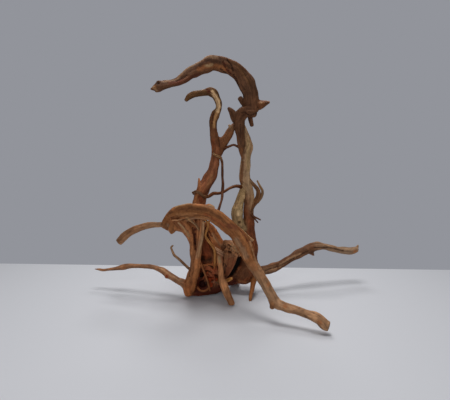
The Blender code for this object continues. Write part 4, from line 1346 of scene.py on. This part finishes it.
@dataclass(frozen=True)
class PeeledMoorWood:
    """Red moor wood, peeled, dried and weathered.

    The peeled skin is matt, with fine lengthwise fibres and dark flecks. Its sawn ends are paler, with
    growth rings. Fibres of real roots are about 0.3 mm; they are drawn 0.9 mm wide so that they show.
    """

    fibre_width: float = 0.9
    fibre_length: float = 16.0
    streak_width: float = 3.6
    streak_length: float = 48.0
    fleck_width: float = 1.4
    fleck_length: float = 8.0
    ring_width: float = 1.3
    peat: str = "#24130b"
    end_grain: str = "#8f6e4f"
    roughness: Range = (0.56, 0.78)
    shine: float = 0.14
    noise_range: Range = (0.3, 0.7)
    streak_values: Range = (0.85, 1.15)
    fibre_values: Range = (0.84, 1.16)
    fleck_range: Range = (0.60, 0.74)
    fleck_shares: Range = (0.0, 0.42)
    ring_range: Range = (-0.4, 1.0)
    ring_shares: Range = (0.0, 0.4)
    rough_range: Range = (0.25, 0.75)
    fibre_relief: float = 0.5
    relief_strength: float = 0.75

    def build(self) -> bpy.types.Material:
        """Builds the material from the skin's attributes.

        Returns:
            The material.
        """
        material = bpy.data.materials.new("peeled_dried_red_moor_wood")
        material.use_nodes = True
        tree = material.node_tree
        shader = tree.nodes["Principled BSDF"]
        shader.inputs["Specular IOR Level"].default_value = self.shine
        tint, sawn, meld, pith = (add_node(tree, "ShaderNodeAttribute", {"attribute_name": name})
                                  for name in ("tint", "sawn", "meld", "pith"))
        fibres = self.grained(tree, meld, self.fibre_width, self.fibre_length, 3.0)
        streaks = self.grained(tree, meld, self.streak_width, self.streak_length, 2.0)
        flecks = self.grained(tree, meld, self.fleck_width, self.fleck_length, 1.0)
        streak_value = self.ranged(tree, streaks, self.noise_range, self.streak_values)
        fibre_value = self.ranged(tree, fibres, self.noise_range, self.fibre_values)
        value = self.product(tree, streak_value, fibre_value)
        wood = add_node(tree, "ShaderNodeVectorMath", {"operation": "SCALE"}, {
            0: tint.outputs["Color"], "Scale": value})
        fleck_share = self.ranged(tree, flecks, self.fleck_range, self.fleck_shares)
        flecked = self.blended(tree, fleck_share, wood.outputs["Vector"], self.peat)
        ring = add_node(tree, "ShaderNodeMath", {"operation": "SINE"}, {
            0: self.product(tree, pith.outputs["Fac"], math.tau / self.ring_width)})
        ring_share = self.ranged(tree, ring.outputs["Value"], self.ring_range, self.ring_shares)
        end = add_node(tree, "ShaderNodeMix", {"data_type": "RGBA"}, {"Factor": ring_share})
        end.inputs[6].default_value = (*linear_rgb(self.end_grain), 1)
        end.inputs[7].default_value = (*linear_rgb(self.peat), 1)
        skin = add_node(tree, "ShaderNodeMix", {"data_type": "RGBA"}, {"Factor": sawn.outputs["Fac"]})
        tree.links.new(flecked, skin.inputs[6])
        tree.links.new(end.outputs[2], skin.inputs[7])
        tree.links.new(skin.outputs[2], shader.inputs["Base Color"])
        rough = self.ranged(tree, fibres, self.rough_range, self.roughness)
        tree.links.new(rough, shader.inputs["Roughness"])
        relief = add_node(tree, "ShaderNodeBump", {}, {
            "Height": fibres, "Strength": self.relief_strength, "Distance": self.fibre_relief * MM})
        tree.links.new(relief.outputs["Normal"], shader.inputs["Normal"])
        return material

    def grained(self, tree: bpy.types.NodeTree, meld: bpy.types.Node, width: float, length: float,
                detail: float) -> bpy.types.NodeSocket:
        """Adds noise that is stretched along the grain, melded where two roots meet.

        Args:
            tree: The material's nodes.
            meld: The attribute with the share of the second root.
            width: Size across the grain, in mm.
            length: Size along the grain, in mm.
            detail: Finer layers of the noise.

        Returns:
            The socket with the noise, from 0 to 1.
        """
        layers = []
        for name in ("grain_near", "grain_next"):
            source = add_node(tree, "ShaderNodeAttribute", {"attribute_name": name})
            straight = add_node(tree, "ShaderNodeVectorMath", {"operation": "MULTIPLY"}, {
                0: source.outputs["Vector"], 1: (1 / width, 1 / width, 1 / length)})
            layers.append(add_node(tree, "ShaderNodeTexNoise", {}, {
                "Vector": straight.outputs["Vector"], "Scale": 1.0, "Detail": detail, "Roughness": 0.55}))
        mixed = add_node(tree, "ShaderNodeMix", {"data_type": "FLOAT"}, {
            "Factor": meld.outputs["Fac"], "A": layers[0].outputs["Fac"], "B": layers[1].outputs["Fac"]})
        return mixed.outputs["Result"]

    def ranged(self, tree: bpy.types.NodeTree, value: bpy.types.NodeSocket, source: Range,
               target: Range) -> bpy.types.NodeSocket:
        """Returns the socket with value carried from the source range to the target range."""
        return add_node(tree, "ShaderNodeMapRange", {"interpolation_type": "SMOOTHSTEP"}, {
            "Value": value, "From Min": source[0], "From Max": source[1], "To Min": target[0],
            "To Max": target[1]}).outputs["Result"]

    def product(self, tree: bpy.types.NodeTree, a: bpy.types.NodeSocket,
                b: bpy.types.NodeSocket | float) -> bpy.types.NodeSocket:
        """Returns the socket with a times b."""
        return add_node(tree, "ShaderNodeMath", {"operation": "MULTIPLY"}, {0: a, 1: b}).outputs["Value"]

    def blended(self, tree: bpy.types.NodeTree, share: bpy.types.NodeSocket, colour: bpy.types.NodeSocket,
                other: str) -> bpy.types.NodeSocket:
        """Returns the socket with colour blended towards the other colour by share."""
        mix = add_node(tree, "ShaderNodeMix", {"data_type": "RGBA"}, {"Factor": share})
        tree.links.new(colour, mix.inputs[6])
        mix.inputs[7].default_value = (*linear_rgb(other), 1)
        return mix.outputs[2]


def add_node(tree: bpy.types.NodeTree, kind: str, settings: dict[str, object] | None = None,
             inputs: dict[str | int, object] | None = None) -> bpy.types.Node:
    """Adds a node with its settings, and gives each named input a value or a link.

    Args:
        tree: Where the node goes.
        kind: The node's type.
        settings: Names and values of its settings.
        inputs: Names or numbers of its inputs, each with a value or a socket to link.

    Returns:
        The node.
    """
    node = tree.nodes.new(kind)
    for name, value in (settings or {}).items():
        setattr(node, name, value)
    for name, value in (inputs or {}).items():
        socket = node.inputs[name]
        if isinstance(value, bpy.types.NodeSocket):
            tree.links.new(value, socket)
        else:
            socket.default_value = value
    return node


@dataclass
class WoodPiece(ABC):
    """A piece of the root, with the roots it is grown from and the marks on them."""

    roots: tuple[Root, ...]
    box: tuple[np.ndarray, np.ndarray]
    marks: tuple[Mark, ...] = ()
    weathering: Weathering = Weathering()

    @abstractmethod
    def build(self, wood: bpy.types.Material) -> bpy.types.Object:
        """Returns the finished piece, in the given material."""

    def held(self, points: np.ndarray) -> np.ndarray:
        """Returns the points, kept a hair inside the box."""
        low, high = self.box
        return np.clip(points, low + 0.01, high - 0.01)

    def dressed(self, mesh: bpy.types.Mesh, name: str, wood: bpy.types.Material) -> bpy.types.Object:
        """Stores what the material reads at each point, and makes the object.

        Args:
            mesh: The shaped mesh.
            name: The piece's name.
            wood: The material.

        Returns:
            The finished piece.
        """
        skin = Skin(read_points(mesh), read_edges(mesh))
        normals = read_normals(mesh)
        grain = Grain.of(skin.points, self.roots)
        colours = self.weathering.colours(skin, normals, grain, self.marks)
        write_attribute(mesh, "tint", np.concatenate((colours, np.ones((len(colours), 1))), axis=1))
        write_attribute(mesh, "grain_near", grain.near)
        write_attribute(mesh, "grain_next", grain.next)
        write_attribute(mesh, "meld", grain.meld)
        write_attribute(mesh, "pith", grain.pith)
        write_attribute(mesh, "sawn", self.sawn(skin.points, normals))
        mesh.name = name
        mesh.shade_smooth()
        mesh.materials.append(wood)
        piece = bpy.data.objects.new(name, mesh)
        bpy.context.scene.collection.objects.link(piece)
        log.info("%s: %d faces", name, len(mesh.polygons))
        return piece

    def sawn(self, points: np.ndarray, normals: np.ndarray) -> np.ndarray:
        """Returns 1 on the sawn ends and 0 elsewhere."""
        share = np.zeros(len(points))
        for root in self.roots:
            if root.end is not End.SAWN:
                continue
            spine = Spine.of(root, SPINE_STEP)
            end, ahead, girth = spine.points[-1], spine.ahead[-1], spine.girth[-1]
            near = np.linalg.norm(points - end, axis=1) < 1.6 * girth
            share = np.maximum(share, near * smooth_between(0.6, 0.85, normals @ ahead))
        return share


@dataclass
class RootBody(WoodPiece):
    """The whole root but its rootlets, as one carved skin."""

    spacing: float = 1.4
    sides: int = 36
    voxel: float = 1.15
    faces: int = 192000
    step_rounds: int = 3
    step_push: float = 1.05
    crease_rounds: int = 8
    crease_width: float = 3.0
    crease_girths: Range = (1.5, 6.0)
    crease_amount: float = 0.55
    carving: Carving = Carving()

    def build(self, wood: bpy.types.Material) -> bpy.types.Object:
        """Melts the swept roots into one skin, eases, carves and dresses it.

        Args:
            wood: The material.

        Returns:
            The finished piece.
        """
        mesh = swept_mesh("swept", self.roots, self.spacing, self.sides)
        mesh = modified(mesh, "REMESH", {"mode": "VOXEL", "voxel_size": self.voxel * MM})
        mesh = largest_body(mesh)
        log.info("melted skin: %d faces", len(mesh.polygons))
        self.ease(mesh)
        self.carve(mesh)
        ratio = min(1.0, self.faces / (2 * len(mesh.polygons)))
        mesh = modified(mesh, "DECIMATE", {"ratio": ratio, "use_collapse_triangulate": True})
        write_points(mesh, self.held(read_points(mesh)))
        return self.dressed(mesh, "root_body", wood)

    def ease(self, mesh: bpy.types.Mesh) -> None:
        """Takes the steps out of the melted skin, and rounds the creases where roots meet."""
        skin = Skin(read_points(mesh), read_edges(mesh))
        skin.relaxed(self.step_rounds, 0.5, push=self.step_push)
        grain = Grain.of(skin.points, self.roots)
        thick = np.minimum(grain.near_girth, grain.next_girth)
        crease = np.exp(-(grain.gap / self.crease_width) ** 2) * smooth_between(*self.crease_girths, thick)
        for _ in range(2):
            crease = skin.averaged(crease)
        skin.relaxed(self.crease_rounds, self.crease_amount * crease)
        write_points(mesh, self.held(skin.points))

    def carve(self, mesh: bpy.types.Mesh) -> None:
        """Moves the skin along its normals by the depth of the carving and the marks."""
        points, normals = read_points(mesh), read_normals(mesh)
        depth = self.carving.depth(points, Grain.of(points, self.roots))
        crumbs = self.carving.crumble(points)
        for mark in self.marks:
            if mark.lift or mark.crumble:
                depth += mark.nearness(points) * (mark.lift + mark.crumble * crumbs)
        write_points(mesh, self.held(points + depth[:, None] * normals))


@dataclass
class RootletTangle(WoodPiece):
    """The thin rootlets, each a fine tube whose ends are sunk in the body."""

    spacing: float = 1.1
    sides: int = 18
    bump_depth: float = 0.18
    bump_size: Place = (2.5, 2.5, 9.0)
    swell_depth: float = 0.24
    swell_size: float = 12.0

    def build(self, wood: bpy.types.Material) -> bpy.types.Object:
        """Sweeps, roughens and dresses the rootlets.

        Args:
            wood: The material.

        Returns:
            The finished piece.
        """
        mesh = swept_mesh("rootlets", self.roots, self.spacing, self.sides)
        points = read_points(mesh)
        place = Grain.of(points, self.roots).near
        bumps = self.bump_depth * LatticeNoise(31)(place / self.bump_size)
        bumps = bumps + self.swell_depth * LatticeNoise(32)(place / self.swell_size)
        write_points(mesh, self.held(points + bumps[:, None] * read_normals(mesh)))
        return self.dressed(mesh, "rootlets", wood)


@dataclass(frozen=True)
class Lamp:
    """A square soft light: its place, what it points at and its side, in mm, and its power in watts."""

    name: str
    place: Place
    target: Place
    side: float
    power: float


@dataclass(frozen=True)
class Studio:
    """A pale sheet on the table, soft light from above, behind and in front, and the camera."""

    lamps: tuple[Lamp, ...] = (
        Lamp("overhead", (20, -40, 1300), (20, -60, 0), 450, 8.8),
        Lamp("rear", (20, 560, 1150), (0, -60, 100), 450, 4.4),
        Lamp("front", (-100, -1450, 800), (0, 0, 170), 800, 5.6),
    )
    room_light: Place = (0.12, 0.123, 0.13)
    eye: Place = (20, -627, 278)
    tilt: float = 82.0
    lens: float = 26.4
    sensor: float = 36
    sheet_colour: str = "#cdced3"
    backdrop_colour: str = "#92949b"
    back_edge: float = 162
    back_slant: float = -0.042
    half_width: float = 1400
    front_edge: float = -1500

    def build(self) -> None:
        """Makes the floor, the lights and the camera."""
        self.make_floor()
        for lamp in self.lamps:
            self.hang(lamp)
        self.make_world()
        lens = bpy.data.cameras.new("camera")
        lens.lens = self.lens
        lens.sensor_width = self.sensor
        camera = bpy.data.objects.new("camera", lens)
        camera.location = np.array(self.eye) * MM
        camera.rotation_euler = (math.radians(self.tilt), 0, 0)
        bpy.context.scene.collection.objects.link(camera)
        bpy.context.scene.camera = camera
        bpy.context.scene.view_settings.view_transform = "Standard"

    def make_floor(self) -> None:
        """Lays the pale sheet, level with the root's feet. Its back edge slants a little."""
        left, right = -self.half_width, self.half_width
        points = np.array((
            (left, self.front_edge, -FLOOR_DROP),
            (right, self.front_edge, -FLOOR_DROP),
            (left, self.back_edge + self.back_slant * left, -FLOOR_DROP),
            (right, self.back_edge + self.back_slant * right, -FLOOR_DROP),
        ))
        mesh = make_mesh("floor", points, np.array(((0, 1, 3, 2),)), np.zeros((0, 3), int))
        material = bpy.data.materials.new("matt_paper")
        material.use_nodes = True
        shader = material.node_tree.nodes["Principled BSDF"]
        shader.inputs["Base Color"].default_value = (*linear_rgb(self.sheet_colour), 1)
        shader.inputs["Roughness"].default_value = 0.7
        mesh.materials.append(material)
        floor = bpy.data.objects.new("floor", mesh)
        bpy.context.scene.collection.objects.link(floor)
        floor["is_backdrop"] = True

    def hang(self, lamp: Lamp) -> None:
        """Hangs a lamp, turned to its target.

        Args:
            lamp: The lamp.
        """
        light = bpy.data.lights.new(lamp.name, "AREA")
        light.size = lamp.side * MM
        light.energy = lamp.power
        hung = bpy.data.objects.new(lamp.name, light)
        hung.location = np.array(lamp.place) * MM
        away = unit(np.array([np.subtract(lamp.place, lamp.target)], float))[0]
        side = unit(np.cross(BACK, away)[None])[0]
        hung.rotation_euler = matrix_angles(side, np.cross(away, side), away)
        bpy.context.scene.collection.objects.link(hung)

    def make_world(self) -> None:
        """Fills the room with pale light, and shows the grey backdrop behind the sheet."""
        world = bpy.data.worlds.new("studio")
        world.use_nodes = True
        tree = world.node_tree
        background = tree.nodes["Background"]
        sight = add_node(tree, "ShaderNodeLightPath")
        seen = sight.outputs["Is Camera Ray"]
        shown = add_node(tree, "ShaderNodeMix", {"data_type": "RGBA"}, {"Factor": seen})
        shown.inputs[6].default_value = (*self.room_light, 1)
        shown.inputs[7].default_value = (*linear_rgb(self.backdrop_colour), 1)
        tree.links.new(shown.outputs[2], background.inputs["Color"])
        bpy.context.scene.world = world


def matrix_angles(x: np.ndarray, y: np.ndarray, z: np.ndarray) -> tuple[float, float, float]:
    """Turns three axes into XYZ angles.

    Args:
        x: The object's own x axis.
        y: Its y axis.
        z: Its z axis.

    Returns:
        The angles, in radians.
    """
    return math.atan2(y[2], z[2]), math.asin(max(-1.0, min(1.0, -x[2]))), math.atan2(x[1], x[0])


def main() -> None:
    """Builds the root and the studio."""
    cad_low, cad_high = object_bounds()
    box = (np.array(cad_low) / MM, np.array(cad_high) / MM)
    limbs: tuple[Limb, ...] = (
        RightTrunk(), LeftTrunk(), GreatHook(), FrontArch(), Legs(), Burl(), InnerRoots(), LongRoots())
    roots = tuple(root for limb in limbs for root in limb.roots)
    marks = tuple(mark for limb in limbs for mark in limb.marks)
    wood = PeeledMoorWood().build()
    body = RootBody(roots, box, marks).build(wood)
    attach(body, BODY)
    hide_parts(NODE)
    # the rootlets take less painted shade in crowded pockets
    rootlets = RootletTangle(HairRoots().roots, box, weathering=Weathering(pocket_shade_share=0.25)).build(wood)
    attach(rootlets, BODY)
    Studio().build()


if __name__ == "__main__":
    main()
